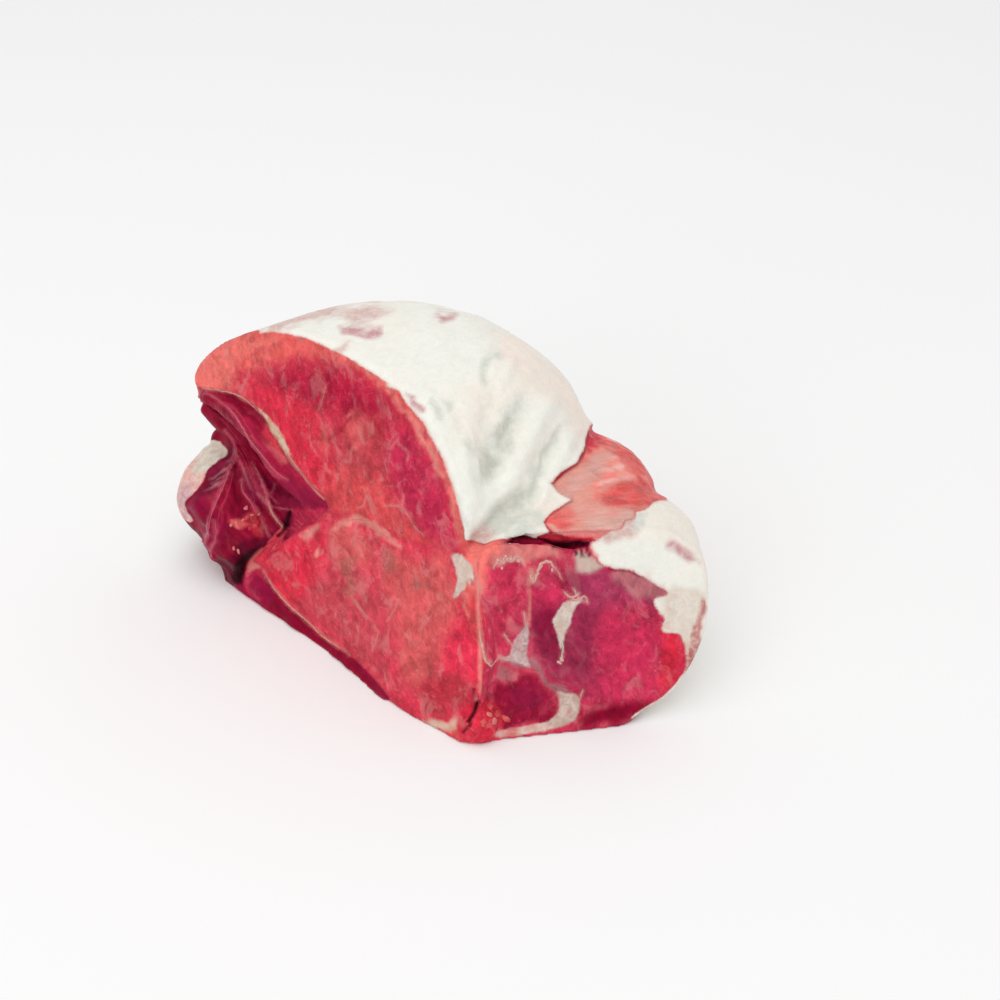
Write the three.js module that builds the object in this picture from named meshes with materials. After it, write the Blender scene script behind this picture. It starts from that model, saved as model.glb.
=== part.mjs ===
// A boneless pork leg lying on its trimmed underside: the big rump end with its fat cap, sliced off
// on a slant at the left, the shank end cut across at the right, the bare muscle between the two,
// and at the far left the hollow that the hip bone left, with the flank muscles hanging round it.
// Millimetres, Z up, Y from the front to the back, standing on the plane Z = 0.
//
// The meat has no straight edges, so its form is a signed distance, negative inside: each mass of
// muscle is an outline carried back with a rounded end, or a lobe, and knife cuts are slanting
// surfaces. A net of triangles is then drawn over the place where the distance is zero.
import * as THREE from 'three';

// Driving sizes of the whole leg.
const LEG_TOP = 180; // height at which the dome of the rump would close over
const NET_PITCH = 6.9; // spacing of the triangle net
const REST_CENTRE = [-8.7, 22.55]; // middle of the leg's length and depth, moved to the origin
const FLAT_BAND = 0.4; // what lies this near the board rests flat on it

// The rump cut runs from the near corner to the back left, and leans back as it rises.
const RUMP_CUT_FOOT = [19, -115, 0];
const RUMP_CUT_LEAN = THREE.MathUtils.degToRad(20);
const RUMP_CUT_SWELL = 7; // how far the cut muscle bulges near the board
const RUMP_DEPTH = 190; // from the cut face to the back of the rump
const RUMP_ROUND = 84; // radius over which the back of the rump rounds off

// The rump's outline as the cut face shows it: distance along the board, height.
const RUMP_OUTLINE = [
  [2, -20], [4, 20], [14, 60], [36, 92], [50, 117], [72, 139], [100, 154], [144, 159],
  [190, 159], [226, 152], [256, 134], [279, 115], [286, 97], [272, 70], [258, 30], [250, -20],
];

// The leg seen from above: length, depth.
const PLAN_OUTLINE = [
  [-175, 70], [-168, 112], [-146, 138], [-108, 152], [-56, 158], [0, 152], [46, 136],
  [80, 100], [92, 54], [87, 5], [58, -60], [30, -130], [-60, -120], [-150, -20],
];

// The hollow left by the hip bone, outlined on the cut face, and the slanting wall at its back.
const HOLLOW_OUTLINE = [
  [330, 100], [278, 99], [217, 104], [176, 85], [142, 77], [150, 66], [178, 50], [202, 30],
  [219, 12], [224, -30], [330, -30],
];
const HOLLOW_WALL_POINT = [-150, 104, 97];
const HOLLOW_WALL_FACING = [-0.751, -0.659, 0.047];

// Ropes of inner muscle along the hollow: each has points down its middle, and radii.
const HOLLOW_ROPES = [
  { points: [[-143, 99, 94], [-116, 69, 93], [-94, 44, 80], [-72, 20, 64]], radii: [4, 7, 8, 5] },
  { points: [[-146, 99, 84], [-120, 80, 74], [-104, 60, 57], [-86, 42, 38]], radii: [5, 8, 9, 6] },
  { points: [[-138, 94, 69], [-120, 82, 54], [-112, 70, 38], [-104, 64, 20]], radii: [6, 9, 10, 8] },
];

// The shank end: its outline as length and height, and the cut across it, leaning back.
const SHANK_OUTLINE = [
  [4, -30], [4, 40], [12, 88], [34, 103], [60, 104], [92, 102], [124, 98], [146, 83],
  [149, 60], [146, 43], [137, 26], [124, 12], [104, 2], [60, -30],
];
const SHANK_CUT_POINT = [66, -102, 0];
const SHANK_CUT_LEAN = THREE.MathUtils.degToRad(24);
const SHANK_CUT_TURN = 0.16;
const SHANK_CUT_SWELL = 3;
const SHANK_BACK = 45;
const SHANK_ROUND = 70;

// The bare muscle between rump and shank, and the flank muscles left of the hollow.
const MIDDLE = { centre: [68, 8, 60], radii: [59, 62, 54], tilt: -10, squareness: 2.7 };
const FLANK = { centre: [-131, 76, 42], radii: [36, 32, 28], tilt: 24, squareness: 2.1 };
const FLANK_FOOT = { centre: [-112, 60, 27], radii: [36, 34, 34], tilt: 0, squareness: 2.3 };

// Slits and creases between muscles, cut as ropes of air, and folds in the fat cap.
const SHANK_SLIT = {
  points: [[32, -60, 101], [46, -57, 100], [60, -55, 99], [76, -55, 95], [92, -57, 90]],
  radii: [3, 5, 5.5, 5, 3],
};
const CREASES = [
  { points: [[20, -98, 30], [18, -106, 20], [14, -110, 10]], radii: [1, 3, 3] },
  { points: [[-62, 6, 82], [-82, 18, 59], [-104, 24, 34], [-121, 26, 13]], radii: [2, 3.5, 4.5, 5] },
  { points: [[-110, 22, 20], [-85, -9, 10], [-53, -43, 9], [-23, -80, 12]], radii: [3, 3.5, 3.5, 2] },
];
const FAT_FOLDS = [
  { points: [[33, 6, 154], [30, -16, 144], [28, -34, 124]], radii: [4, 9, 5] },
  { points: [[46, -40, 112], [36, -54, 104], [20, -64, 97]], radii: [4, 6, 3] },
  { points: [[66, -2, 124], [58, -16, 118]], radii: [3, 5] },
];
const SLIT_EDGE = 3;
const FOLD_EDGE = 9;

// The loose nub of muscle at the near corner.
const NUB = { centre: [22, -102, 8], radii: [11, 10, 13], tilt: 0, squareness: 2.2 };

// How softly neighbouring masses run into each other.
const MUSCLE_BLEND = 10;
const SHANK_BLEND = 3;
const ROPE_BLEND = 4;
const CUT_EDGE = 3;

function smoothMin(a, b, width) {
  const share = THREE.MathUtils.clamp(0.5 + (0.5 * (b - a)) / width, 0, 1);
  return THREE.MathUtils.lerp(b, a, share) - width * share * (1 - share);
}

function smoothMax(a, b, width) {
  return -smoothMin(-a, -b, width);
}

// A hump of height 1 over the point (u0, v0), fading out over spreadU and spreadV.
function hump(u, v, u0, v0, spreadU, spreadV) {
  return Math.exp(-(((u - u0) / spreadU) ** 2) - ((v - v0) / spreadV) ** 2);
}

// A rounded block or egg: squareness 2 is an ellipsoid, more is squarer.
function lobeDistance(p, { centre, radii, tilt, squareness }) {
  const angle = THREE.MathUtils.degToRad(tilt);
  const dx = p.x - centre[0];
  const dz = p.z - centre[2];
  const turned = [
    dx * Math.cos(angle) + dz * Math.sin(angle),
    p.y - centre[1],
    dz * Math.cos(angle) - dx * Math.sin(angle),
  ];
  const shares = turned.map((value, axis) => Math.abs(value / radii[axis]) + 1e-6);
  const level = shares.reduce((sum, share) => sum + share ** squareness, 0) ** (1 / squareness);
  const slope = Math.hypot(
    ...shares.map((share, axis) => (share / level) ** (squareness - 1) / radii[axis]),
  );
  return (level - 1) / slope;
}

// A rope through the points, its radius running from one value to the next.
function ropeDistance(p, { points, radii }) {
  let nearest = Infinity;
  for (let i = 0; i + 1 < points.length; i += 1) {
    const from = points[i];
    const run = points[i + 1].map((value, axis) => value - from[axis]);
    const offset = [p.x - from[0], p.y - from[1], p.z - from[2]];
    const along = offset[0] * run[0] + offset[1] * run[1] + offset[2] * run[2];
    const t = THREE.MathUtils.clamp(along / (run[0] ** 2 + run[1] ** 2 + run[2] ** 2), 0, 1);
    const gap = Math.hypot(...offset.map((value, axis) => value - run[axis] * t));
    nearest = Math.min(nearest, gap - THREE.MathUtils.lerp(radii[i], radii[i + 1], t));
  }
  return nearest;
}

// The distance from a smooth closed curve through the points, negative inside it.
function outlineField(points) {
  const corners = points.map(([u, v]) => new THREE.Vector3(u, v, 0));
  const curve = new THREE.CatmullRomCurve3(corners, true, 'catmullrom', 0.5);
  const line = curve.getPoints(points.length * 6).slice(0, -1);
  return (u, v) => {
    let nearest = Infinity;
    let inside = false;
    line.forEach((start, i) => {
      const end = line[(i + 1) % line.length];
      const du = end.x - start.x;
      const dv = end.y - start.y;
      const along = (u - start.x) * du + (v - start.y) * dv;
      const t = THREE.MathUtils.clamp(along / (du * du + dv * dv), 0, 1);
      const gap = (u - start.x - du * t) ** 2 + (v - start.y - dv * t) ** 2;
      nearest = Math.min(nearest, gap);
      if (start.y > v !== end.y > v && u < start.x + (du * (v - start.y)) / dv) {
        inside = !inside;
      }
    });
    return inside ? -Math.sqrt(nearest) : Math.sqrt(nearest);
  };
}

// An outline carried back to an end plane and rounded over there, like the end of a pillow.
function pillow(outline, pastEnd, radius) {
  const side = outline + radius;
  const end = pastEnd + radius;
  const outer = Math.hypot(Math.max(side, 0), Math.max(end, 0));
  return Math.min(Math.max(side, end), 0) + outer - radius;
}

const rumpOutline = outlineField(RUMP_OUTLINE);
const planOutline = outlineField(PLAN_OUTLINE);
const hollowOutline = outlineField(HOLLOW_OUTLINE);
const shankOutline = outlineField(SHANK_OUTLINE);

const rumpCutFacing = new THREE.Vector3(
  -Math.SQRT1_2 * Math.cos(RUMP_CUT_LEAN),
  -Math.SQRT1_2 * Math.cos(RUMP_CUT_LEAN),
  Math.sin(RUMP_CUT_LEAN),
);
const shankCutFacing = new THREE.Vector3(
  SHANK_CUT_TURN,
  -Math.cos(SHANK_CUT_LEAN),
  Math.sin(SHANK_CUT_LEAN),
).normalize();

// Distance past a plane through the point, positive on the side that it faces.
function pastPlane(p, point, facing) {
  return p.clone().sub(new THREE.Vector3(...point)).dot(facing);
}

// Place on the rump cut as seen from the front: along the board, and back from the cut.
function cutPlace(p) {
  const x = p.x - RUMP_CUT_FOOT[0];
  const y = p.y - RUMP_CUT_FOOT[1];
  return { along: (y - x) * Math.SQRT1_2, back: (x + y) * Math.SQRT1_2 };
}

function rumpCutDistance(p) {
  const { along } = cutPlace(p);
  return pastPlane(p, RUMP_CUT_FOOT, rumpCutFacing)
    - RUMP_CUT_SWELL * hump(along, p.z, 55, 10, 38, 42)
    - 2 * hump(along, p.z, 150, 120, 80, 40);
}

function rumpDistance(p) {
  const { along, back } = cutPlace(p);
  const farShare = THREE.MathUtils.clamp((back - 40) / 80, 0, 1);
  const nearTip = THREE.MathUtils.clamp((300 - along) / 120, 0, 1);
  const pastMiddle = THREE.MathUtils.clamp((along - 150) / 60, 0, 1);
  const rise = farShare * (7 * nearTip - 6 * pastMiddle);
  const lead = 10 * THREE.MathUtils.clamp((back - 50) / 100, 0, 1);
  const plan = planOutline(p.x, p.y);
  const dome = Math.max(pillow(plan, p.z - LEG_TOP, 98), pillow(plan, -p.z - 12, 62));
  const carried = pillow(rumpOutline(along + lead, p.z - rise), back - RUMP_DEPTH, RUMP_ROUND);
  return smoothMax(smoothMax(carried, dome, 22), rumpCutDistance(p), CUT_EDGE);
}

function hollowDistance(p) {
  const wall = new THREE.Vector3(...HOLLOW_WALL_FACING).normalize();
  const outline = hollowOutline(cutPlace(p).along, p.z);
  return smoothMax(outline, -pastPlane(p, HOLLOW_WALL_POINT, wall), 8);
}

function shankCutDistance(p) {
  return pastPlane(p, SHANK_CUT_POINT, shankCutFacing)
    - SHANK_CUT_SWELL * hump(p.x, p.z, 85, 50, 60, 45);
}

function shankDistance(p) {
  const outline = shankOutline(p.x + 0.1 * (p.y + 60), p.z);
  const carried = pillow(outline, p.y - SHANK_BACK, SHANK_ROUND);
  return smoothMax(smoothMax(carried, shankCutDistance(p), 8), rumpCutDistance(p), 4);
}

function legDistance(x, y, z) {
  const p = new THREE.Vector3(x, y, z);
  let leg = smoothMax(rumpDistance(p), -hollowDistance(p), ROPE_BLEND);
  for (const rope of HOLLOW_ROPES) {
    leg = smoothMin(leg, ropeDistance(p, rope), ROPE_BLEND);
  }
  for (const fold of FAT_FOLDS) {
    leg = smoothMax(leg, -ropeDistance(p, fold), FOLD_EDGE);
  }
  const middle = smoothMax(lobeDistance(p, MIDDLE), shankCutDistance(p) + 1, 5);
  leg = smoothMin(leg, middle, MUSCLE_BLEND);
  leg = smoothMin(leg, shankDistance(p), SHANK_BLEND);
  const flank = smoothMin(lobeDistance(p, FLANK), lobeDistance(p, FLANK_FOOT), MUSCLE_BLEND);
  leg = smoothMin(leg, flank, MUSCLE_BLEND);
  for (const slit of [SHANK_SLIT, ...CREASES]) {
    leg = smoothMax(leg, -ropeDistance(p, slit), SLIT_EDGE);
  }
  leg = smoothMin(leg, lobeDistance(p, NUB), 3);
  return Math.max(leg, -p.z);
}

// The direction in which the distance grows.
function outwardAt(distance, point) {
  const step = 0.2;
  const [x, y, z] = point;
  return new THREE.Vector3(
    distance(x + step, y, z) - distance(x - step, y, z),
    distance(x, y + step, z) - distance(x, y - step, z),
    distance(x, y, z + step) - distance(x, y, z - step),
  ).normalize();
}

// A net over the zero level of a distance: one vertex in each grid cell that the surface crosses,
// pulled onto the planes that touch the surface at the cell's edges, so that knife edges stay
// crisp, and two triangles round each grid edge that the surface crosses.
function netOver(distance, low, high, pitch) {
  const count = low.map((value, axis) => Math.ceil((high[axis] - value) / pitch) + 1);
  const at = (cell) => low.map((value, axis) => value + cell[axis] * pitch);
  const indexOf = (cell) => (cell[2] * count[1] + cell[1]) * count[0] + cell[0];
  const values = new Float64Array(count[0] * count[1] * count[2]);
  for (let k = 0; k < count[2]; k += 1) {
    for (let j = 0; j < count[1]; j += 1) {
      for (let i = 0; i < count[0]; i += 1) {
        values[indexOf([i, j, k])] = distance(...at([i, j, k]));
      }
    }
  }
  const touching = new Map();
  const crossings = [];
  for (let k = 1; k + 1 < count[2]; k += 1) {
    for (let j = 1; j + 1 < count[1]; j += 1) {
      for (let i = 1; i + 1 < count[0]; i += 1) {
        for (let axis = 0; axis < 3; axis += 1) {
          const cell = [i, j, k];
          const next = cell.map((value, other) => value + (other === axis ? 1 : 0));
          const from = values[indexOf(cell)];
          const to = values[indexOf(next)];
          if (from < 0 === to < 0) continue;
          const point = at(cell);
          let near = 0;
          let far = 1;
          for (let halving = 0; halving < 12; halving += 1) {
            const middle = (near + far) / 2;
            const probe = point.map((value, other) => value + (other === axis ? middle * pitch : 0));
            if (distance(...probe) < 0 === from < 0) near = middle;
            else far = middle;
          }
          point[axis] += ((near + far) / 2) * pitch;
          const outward = outwardAt(distance, point);
          const first = (axis + 1) % 3;
          const second = (axis + 2) % 3;
          const ring = [[0, 0], [1, 0], [1, 1], [0, 1]].map(([a, b]) => {
            const corner = [...cell];
            corner[first] -= a;
            corner[second] -= b;
            const index = indexOf(corner);
            if (!touching.has(index)) touching.set(index, { corner, planes: [] });
            touching.get(index).planes.push({ point: new THREE.Vector3(...point), outward });
            return index;
          });
          crossings.push(from < 0 ? ring : ring.reverse());
        }
      }
    }
  }
  const vertexOf = new Map();
  const positions = [];
  for (const [index, { corner, planes }] of touching) {
    const start = at(corner);
    const vertex = new THREE.Vector3();
    planes.forEach(({ point }) => vertex.addScaledVector(point, 1 / planes.length));
    const cellLow = new THREE.Vector3(...start).addScalar(pitch * 0.02);
    const cellHigh = new THREE.Vector3(...start).addScalar(pitch * 0.98);
    for (let pull = 0; pull < 16; pull += 1) {
      const shift = new THREE.Vector3();
      planes.forEach(({ point, outward }) => {
        shift.addScaledVector(outward, point.clone().sub(vertex).dot(outward) / planes.length);
      });
      vertex.add(shift).clamp(cellLow, cellHigh);
    }
    if (vertex.z < FLAT_BAND) vertex.z = 0;
    vertexOf.set(index, positions.length / 3);
    positions.push(vertex.x, vertex.y, vertex.z);
  }
  const triangles = [];
  const corner = (index) => new THREE.Vector3().fromArray(positions, index * 3);
  for (const ring of crossings) {
    const [a, b, c, d] = ring.map((index) => vertexOf.get(index));
    const acrossIsShorter = corner(a).distanceTo(corner(c)) < corner(b).distanceTo(corner(d));
    triangles.push(...(acrossIsShorter ? [a, b, c, a, c, d] : [a, b, d, b, c, d]));
  }
  const net = new THREE.BufferGeometry();
  net.setAttribute('position', new THREE.Float32BufferAttribute(positions, 3));
  net.setIndex(triangles);
  net.computeVertexNormals();
  return net;
}

// The grid starts half a pitch below the board, so that the underside comes out flat at Z = 0.
const GRID_LOW = [-185.9, -127.6, -1.5 * NET_PITCH];
const GRID_HIGH = [170, 180, 180];

const leanMeat = new THREE.MeshStandardMaterial({ color: 0xc4424c, roughness: 0.45, metalness: 0 });
const net = netOver(legDistance, GRID_LOW, GRID_HIGH, NET_PITCH);
net.translate(-REST_CENTRE[0], -REST_CENTRE[1], 0);
const leg = new THREE.Mesh(net, leanMeat);
leg.name = 'pork_leg';

const porkLeg = new THREE.Group();
porkLeg.add(leg);

export default porkLeg;
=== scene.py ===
import itertools
import math

import bmesh
import bpy
import numpy as np
from mathutils import Color, Matrix, Vector
from mathutils.bvhtree import BVHTree


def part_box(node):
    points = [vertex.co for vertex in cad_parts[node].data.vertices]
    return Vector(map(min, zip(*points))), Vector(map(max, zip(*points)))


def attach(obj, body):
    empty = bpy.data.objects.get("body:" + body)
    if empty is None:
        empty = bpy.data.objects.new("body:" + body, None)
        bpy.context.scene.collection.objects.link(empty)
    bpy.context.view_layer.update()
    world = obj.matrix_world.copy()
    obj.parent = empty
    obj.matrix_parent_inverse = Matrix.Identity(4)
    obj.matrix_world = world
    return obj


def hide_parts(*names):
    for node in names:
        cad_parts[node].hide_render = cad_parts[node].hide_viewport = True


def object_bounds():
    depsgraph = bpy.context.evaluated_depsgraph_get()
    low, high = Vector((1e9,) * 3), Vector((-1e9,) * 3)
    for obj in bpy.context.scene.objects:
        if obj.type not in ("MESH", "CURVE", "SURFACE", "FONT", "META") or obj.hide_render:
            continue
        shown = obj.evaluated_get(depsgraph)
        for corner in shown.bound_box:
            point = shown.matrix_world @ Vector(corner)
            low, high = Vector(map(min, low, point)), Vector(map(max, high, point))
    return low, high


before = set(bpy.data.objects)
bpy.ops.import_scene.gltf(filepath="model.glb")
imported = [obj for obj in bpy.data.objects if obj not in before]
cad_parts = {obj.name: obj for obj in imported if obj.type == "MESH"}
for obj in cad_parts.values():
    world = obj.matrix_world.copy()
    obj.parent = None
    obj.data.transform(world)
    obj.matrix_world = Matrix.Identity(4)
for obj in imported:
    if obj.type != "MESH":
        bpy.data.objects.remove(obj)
CAD_BOX = [list(corner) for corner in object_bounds()]

bl_info = {
    "name": "Boneless Pork Leg",
    "version": (1, 0, 0),
    "blender": (4, 5, 0),
    "location": "3D View > Sidebar > Pork Leg",
    "description": "Builds a raw boneless pork leg with its fat cap, membranes and studio stage",
    "category": "Object",
}

NODE = "pork_leg"
BODY = "root"
MM = 0.001

# The form is worked out in millimetres, with the near corner of the rump cut as its landmark, and
# moved so that the middle of the leg's footprint is the origin.
REST_CENTRE = (-8.7, 22.55, 0.0)
LEG_TOP = 180.0

# The knife cuts: a point on each, how far it leans back, and how it swells, as the height, middle
# and spread of each swell.
RUMP_CUT_FOOT = (19.0, -115.0, 0.0)
RUMP_CUT_LEAN = math.radians(20)
RUMP_CUT_SWELLS = ((7.0, 55, 10, 38, 42), (2.0, 150, 120, 80, 40))
SHANK_CUT_POINT = (66.0, -102.0, 0.0)
SHANK_CUT_LEAN = math.radians(24)
SHANK_CUT_TURN = 0.16
SHANK_CUT_SWELLS = ((3.0, 85, 50, 60, 45),)

# The rump: how deep and round it is, and how far its outline rises, drops and shifts to the back.
RUMP_DEPTH = 190.0
RUMP_ROUND = 84.0
RUMP_BACK_RISE = 7.0
RUMP_BACK_DROP = 6.0
RUMP_BACK_SHIFT = 10.0
# The dome over it, and its rounding at the top and at the foot.
DOME_FOOT = 12.0
DOME_ROUND = 98.0
DOME_FOOT_ROUND = 62.0
# The shank: where it starts and ends, how round it is, and how it leans aside with each step back.
SHANK_FRONT = -60.0
SHANK_BACK = 45.0
SHANK_ROUND = 70.0
SHANK_SKEW = 0.1
# Outlines: the rump along its cut, the dome from above, the hollow along the rump's cut, with the
# plane of its wall, and the shank from the front.
RUMP_OUTLINE = (
    (2, -20), (4, 20), (14, 60), (36, 92), (50, 117), (72, 139), (100, 154), (144, 159), (190, 159),
    (226, 152), (256, 134), (279, 115), (286, 97), (272, 70), (258, 30), (250, -20),
)
PLAN_OUTLINE = (
    (-175, 70), (-168, 112), (-146, 138), (-108, 152), (-56, 158), (0, 152), (46, 136), (80, 100),
    (92, 54), (87, 5), (58, -60), (30, -130), (-60, -120), (-150, -20),
)
HOLLOW_OUTLINE = (
    (330, 100), (278, 99), (217, 104), (176, 85), (142, 77), (150, 66), (178, 50), (202, 30), (219, 12),
    (224, -30), (330, -30),
)
HOLLOW_WALL_POINT = (-150.0, 104.0, 97.0)
HOLLOW_WALL_FACING = (-0.751, -0.659, 0.047)
SHANK_OUTLINE = (
    (4, -30), (4, 40), (12, 88), (34, 103), (60, 104), (92, 102), (124, 98), (146, 83), (149, 60),
    (146, 43), (137, 26), (124, 12), (104, 2), (60, -30),
)

# Lobes: centre, radii, tilt in degrees, squareness.
MIDDLE = ((68, 8, 60), (59, 62, 54), -10, 2.7)
FLANK = ((-131, 76, 42), (36, 32, 28), 24, 2.1)
FLANK_FOOT = ((-112, 60, 27), (36, 34, 34), 0, 2.3)
NUB = ((22, -102, 8), (11, 10, 13), 0, 2.2)

# Ropes: points down the middle, and the radius at each.
HOLLOW_ROPES = (
    (((-143, 99, 94), (-116, 69, 93), (-94, 44, 80), (-72, 20, 64)), (4, 7, 8, 5)),
    (((-146, 99, 84), (-120, 80, 74), (-104, 60, 57), (-86, 42, 38)), (5, 8, 9, 6)),
    (((-138, 94, 69), (-120, 82, 54), (-112, 70, 38), (-104, 64, 20)), (6, 9, 10, 8)),
)
FAT_FOLDS = (
    (((33, 6, 154), (30, -16, 144), (28, -34, 124)), (4, 9, 5)),
    (((46, -40, 112), (36, -54, 104), (20, -64, 97)), (4, 6, 3)),
    (((66, -2, 124), (58, -16, 118)), (3, 5)),
)
SHANK_SLIT = (
    ((32, -60, 101), (46, -57, 100), (60, -55, 99), (72, -55, 96), (82, -55, 97)),
    (1.2, 2.6, 3.4, 3, 0.8),
)
CREASES = (
    (((20, -98, 30), (18, -106, 20), (14, -110, 10)), (1, 3, 3)),
    (((-62, 6, 82), (-82, 18, 59), (-104, 24, 34), (-121, 26, 13)), (1.5, 2.5, 3, 3)),
    (((-110, 22, 20), (-85, -9, 10), (-53, -43, 9), (-23, -80, 12)), (3, 3.5, 3.5, 2)),
)

# How softly one form runs into the next, in millimetres.
DOME_BLEND = 22.0
RUMP_EDGE_BLEND = 2.0
HOLLOW_BLEND = 8.0
HOLLOW_EDGE_BLEND = 4.0
ROPE_BLEND = 4.0
FOLD_BLEND = 9.0
MUSCLE_BLEND = 10.0
MIDDLE_EDGE_BLEND = 5.0
SHANK_EDGE_BLEND = 4.0
SHANK_SIDE_BLEND = 3.0
SLIT_BLEND = 2.0
# How far the middle muscle stands back from the shank cut.
MIDDLE_SETBACK = 1.0

# The viewpoint, in millimetres before the leg is moved to the origin.
VIEW_TARGET = (33.0, 0.0, 86.3)
VIEW_DISTANCE = 1108.0
VIEW_ELEVATION = math.radians(35)
LENS_MM = 70.0
SENSOR_MM = 36.0
FRAME_PIXELS = 1000
FRAME_MIDDLE = FRAME_PIXELS / 2
FOCAL_PIXELS = FRAME_PIXELS * LENS_MM / SENSOR_MM
# How much of the leg a pixel spans.
MM_PER_PIXEL = 0.57

# What lies where, as outlines in picture pixels. The middle muscle is trimmed bare of its fat, which
# ends behind it in a wavy line: height, length and start of each wave.
BARE_MUSCLE = (
    (590, 426), (586, 438), (584, 450), (576, 464), (562, 472), (550, 484), (558, 491), (572, 500),
    (560, 508), (549, 515), (543, 523), (550, 534), (575, 540), (604, 539), (611, 533), (622, 529),
    (626, 521), (635, 519), (636, 511), (646, 509), (654, 502), (667, 499), (676, 480), (655, 430),
    (620, 410),
)
BARE_BACK = 74.0
BARE_WAVES = ((5, 9, 0), (3, 3.7, 1))
# How far the trimming sinks it, and the slope at its border, from outside to inside.
TRIM_DEPTH = 3.0
TRIM_SLOPE = (0.4, -1.6)
# Where the rump cut falls away toward the hip hollow, and where it swells along its lower left edge.
HOLLOW_BEVEL = (
    (180, 384), (203, 388), (215, 390), (235, 394), (248, 402), (262, 415), (276, 433), (288, 454),
    (300, 471), (314, 488), (328, 500), (330, 512), (300, 509), (288, 520), (262, 546), (240, 575),
    (150, 575), (150, 384),
)
HOLLOW_BEVEL_DEPTH = 15.0
LOWER_EDGE = (
    (243, 556), (262, 567), (275, 590), (292, 608), (308, 622), (322, 636), (340, 648), (356, 660),
    (372, 676), (390, 698), (380, 730), (220, 660), (220, 560),
)
FOOT_SWELL = 2.6
FOOT_SLOPE = 0.5
# The fat on the flank, the fat that runs into the two cuts, and the lean top of the shank cut.
FLANK_FAT = (
    (165, 440), (214, 440), (222, 445), (226, 451), (217, 461), (207, 469), (203, 479), (195, 490),
    (186, 502), (186, 512), (191, 522), (165, 524),
)
SHANK_FAT = (
    ((590, 545), (600, 562), (612, 568), (630, 571), (640, 576), (652, 583), (668, 593), (655, 598),
     (653, 603), (658, 611), (664, 619), (663, 632), (678, 634), (683, 640), (686, 655), (684, 676),
     (674, 692), (656, 706), (636, 716), (640, 728), (672, 716), (700, 690), (716, 640), (716, 560),
     (695, 500), (665, 490), (640, 510), (600, 538)),
    ((566, 601), (560, 608), (555, 615), (552, 622), (555, 630), (558, 638), (560, 648), (563, 648),
     (565, 637), (570, 626), (573, 614), (577, 606), (583, 600), (575, 600)),
    ((528, 622), (523, 629), (515, 639), (511, 650), (508, 656), (500, 659), (510, 661), (519, 664),
     (530, 668), (528, 660), (527, 648), (529, 634)),
    ((556, 690), (559, 698), (560, 708), (555, 716), (544, 722), (524, 727), (500, 730), (494, 736),
     (512, 737), (536, 733), (556, 728), (572, 722), (579, 712), (580, 700), (576, 694), (566, 694)),
)
RUMP_FAT = (
    ((258, 409), (265, 413), (276, 425), (284, 439), (291, 456), (286, 453), (278, 442), (268, 427)),
    ((451, 554), (458, 554), (464, 558), (470, 563), (473, 568), (474, 575), (474, 582), (471, 578),
     (469, 585), (466, 580), (465, 588), (461, 592), (456, 597), (452, 597), (455, 588), (457, 578),
     (455, 568), (452, 560)),
    ((386, 384), (398, 391), (405, 402), (415, 414), (425, 426), (431, 438), (438, 450), (444, 462),
     (448, 474), (452, 486), (456, 498), (460, 510), (464, 526), (476, 526), (474, 480), (458, 440),
     (432, 400), (404, 376)),
)
SHANK_TOP_LEAN = (
    (455, 541), (500, 540), (512, 536), (545, 538), (590, 537), (603, 541), (590, 546), (600, 562),
    (590, 580), (455, 600),
)
# How many millimetres a pixel counts at an inlay's edge, and how far from its cut it may lie.
INLAY_SLOPE = 0.36
INLAY_DEPTH = 2.5
# How near to the flank's lobes its fat lies, and how low it reaches.
FLANK_BAND = 5.0
FLANK_FAT_FOOT = 30.0
# How far the fat lines the folds, and how fast a border ends as a face turns from the viewpoint.
FOLD_LINING = 11.0
FACING_SPAN = 16.0
# The lean outer strip of the rump's tip: where it starts, how fast it widens and how far, and how
# low it reaches.
TIP_EDGE = -108.0
TIP_TAPER = 0.5
TIP_STRIP = 14.0
TIP_FOOT = 45.0
# How high the trimmed base's lean comes up the sides, and the waves along its edge.
BASE_EDGE = 5.0
BASE_RELIEF = ((2.5, 16, 23),)
# The dressed surface lies this far inside the solid, so that its relief stays within it.
SKIN_INSET = 0.45
# How near a point has to be to a cut, or to the skin, to start to count as on it, and to do so fully.
CUT_REACH = (2.6, 1.4)
SKIN_REACH = (-9, -4)
# A triangle across the fat's edge is split no nearer to its corners than this share of its side.
SPLIT_MARGIN = 0.04

# The way the fibres run in each part of the meat.
BARE_FIBRES = (-0.93, -0.3, -0.2)
HOLLOW_FIBRES = (0.66, -0.66, -0.36)
RUMP_FIBRES = (0.5, -0.5, -0.7)
SHANK_FIBRES = (0.3, -0.5, -0.8)
BACK_FOLDS = (0.5, 0.3, -0.8)

# How much the grain of each part is drawn out along its fibres.
BARE_STRETCH = 7.0
HOLLOW_STRETCH = 5.0
RUMP_STRETCH = 1.35
SHANK_STRETCH = 1.5
BACK_STRETCH = 2.6

# Relief, as layers of noise: the height and size of each in millimetres, and its seed.
FAT_RELIEF = ((0.55, 26, 11), (0.38, 11, 12), (0.16, 5, 13))
CUT_RELIEF = ((0.30, 15, 14), (0.20, 6, 15))
BARE_GRAIN = ((0.45, 3.6, 16),)
BARE_RELIEF = ((0.3, 12, 17),)
TORN_GRAIN = ((1.1, 6, 18),)
TORN_RELIEF = ((0.9, 9, 19), (0.4, 4, 20))
RAGGED_RELIEF = ((0.5, 7, 21), (0.3, 3, 22))
BACK_DENTS = ((1.0, 24, 41), (0.5, 11, 42))
BACK_DENT_HEIGHT = 1.7
BACK_SPOTS = ((1.0, 24, 35), (0.4, 7, 36))
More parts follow.
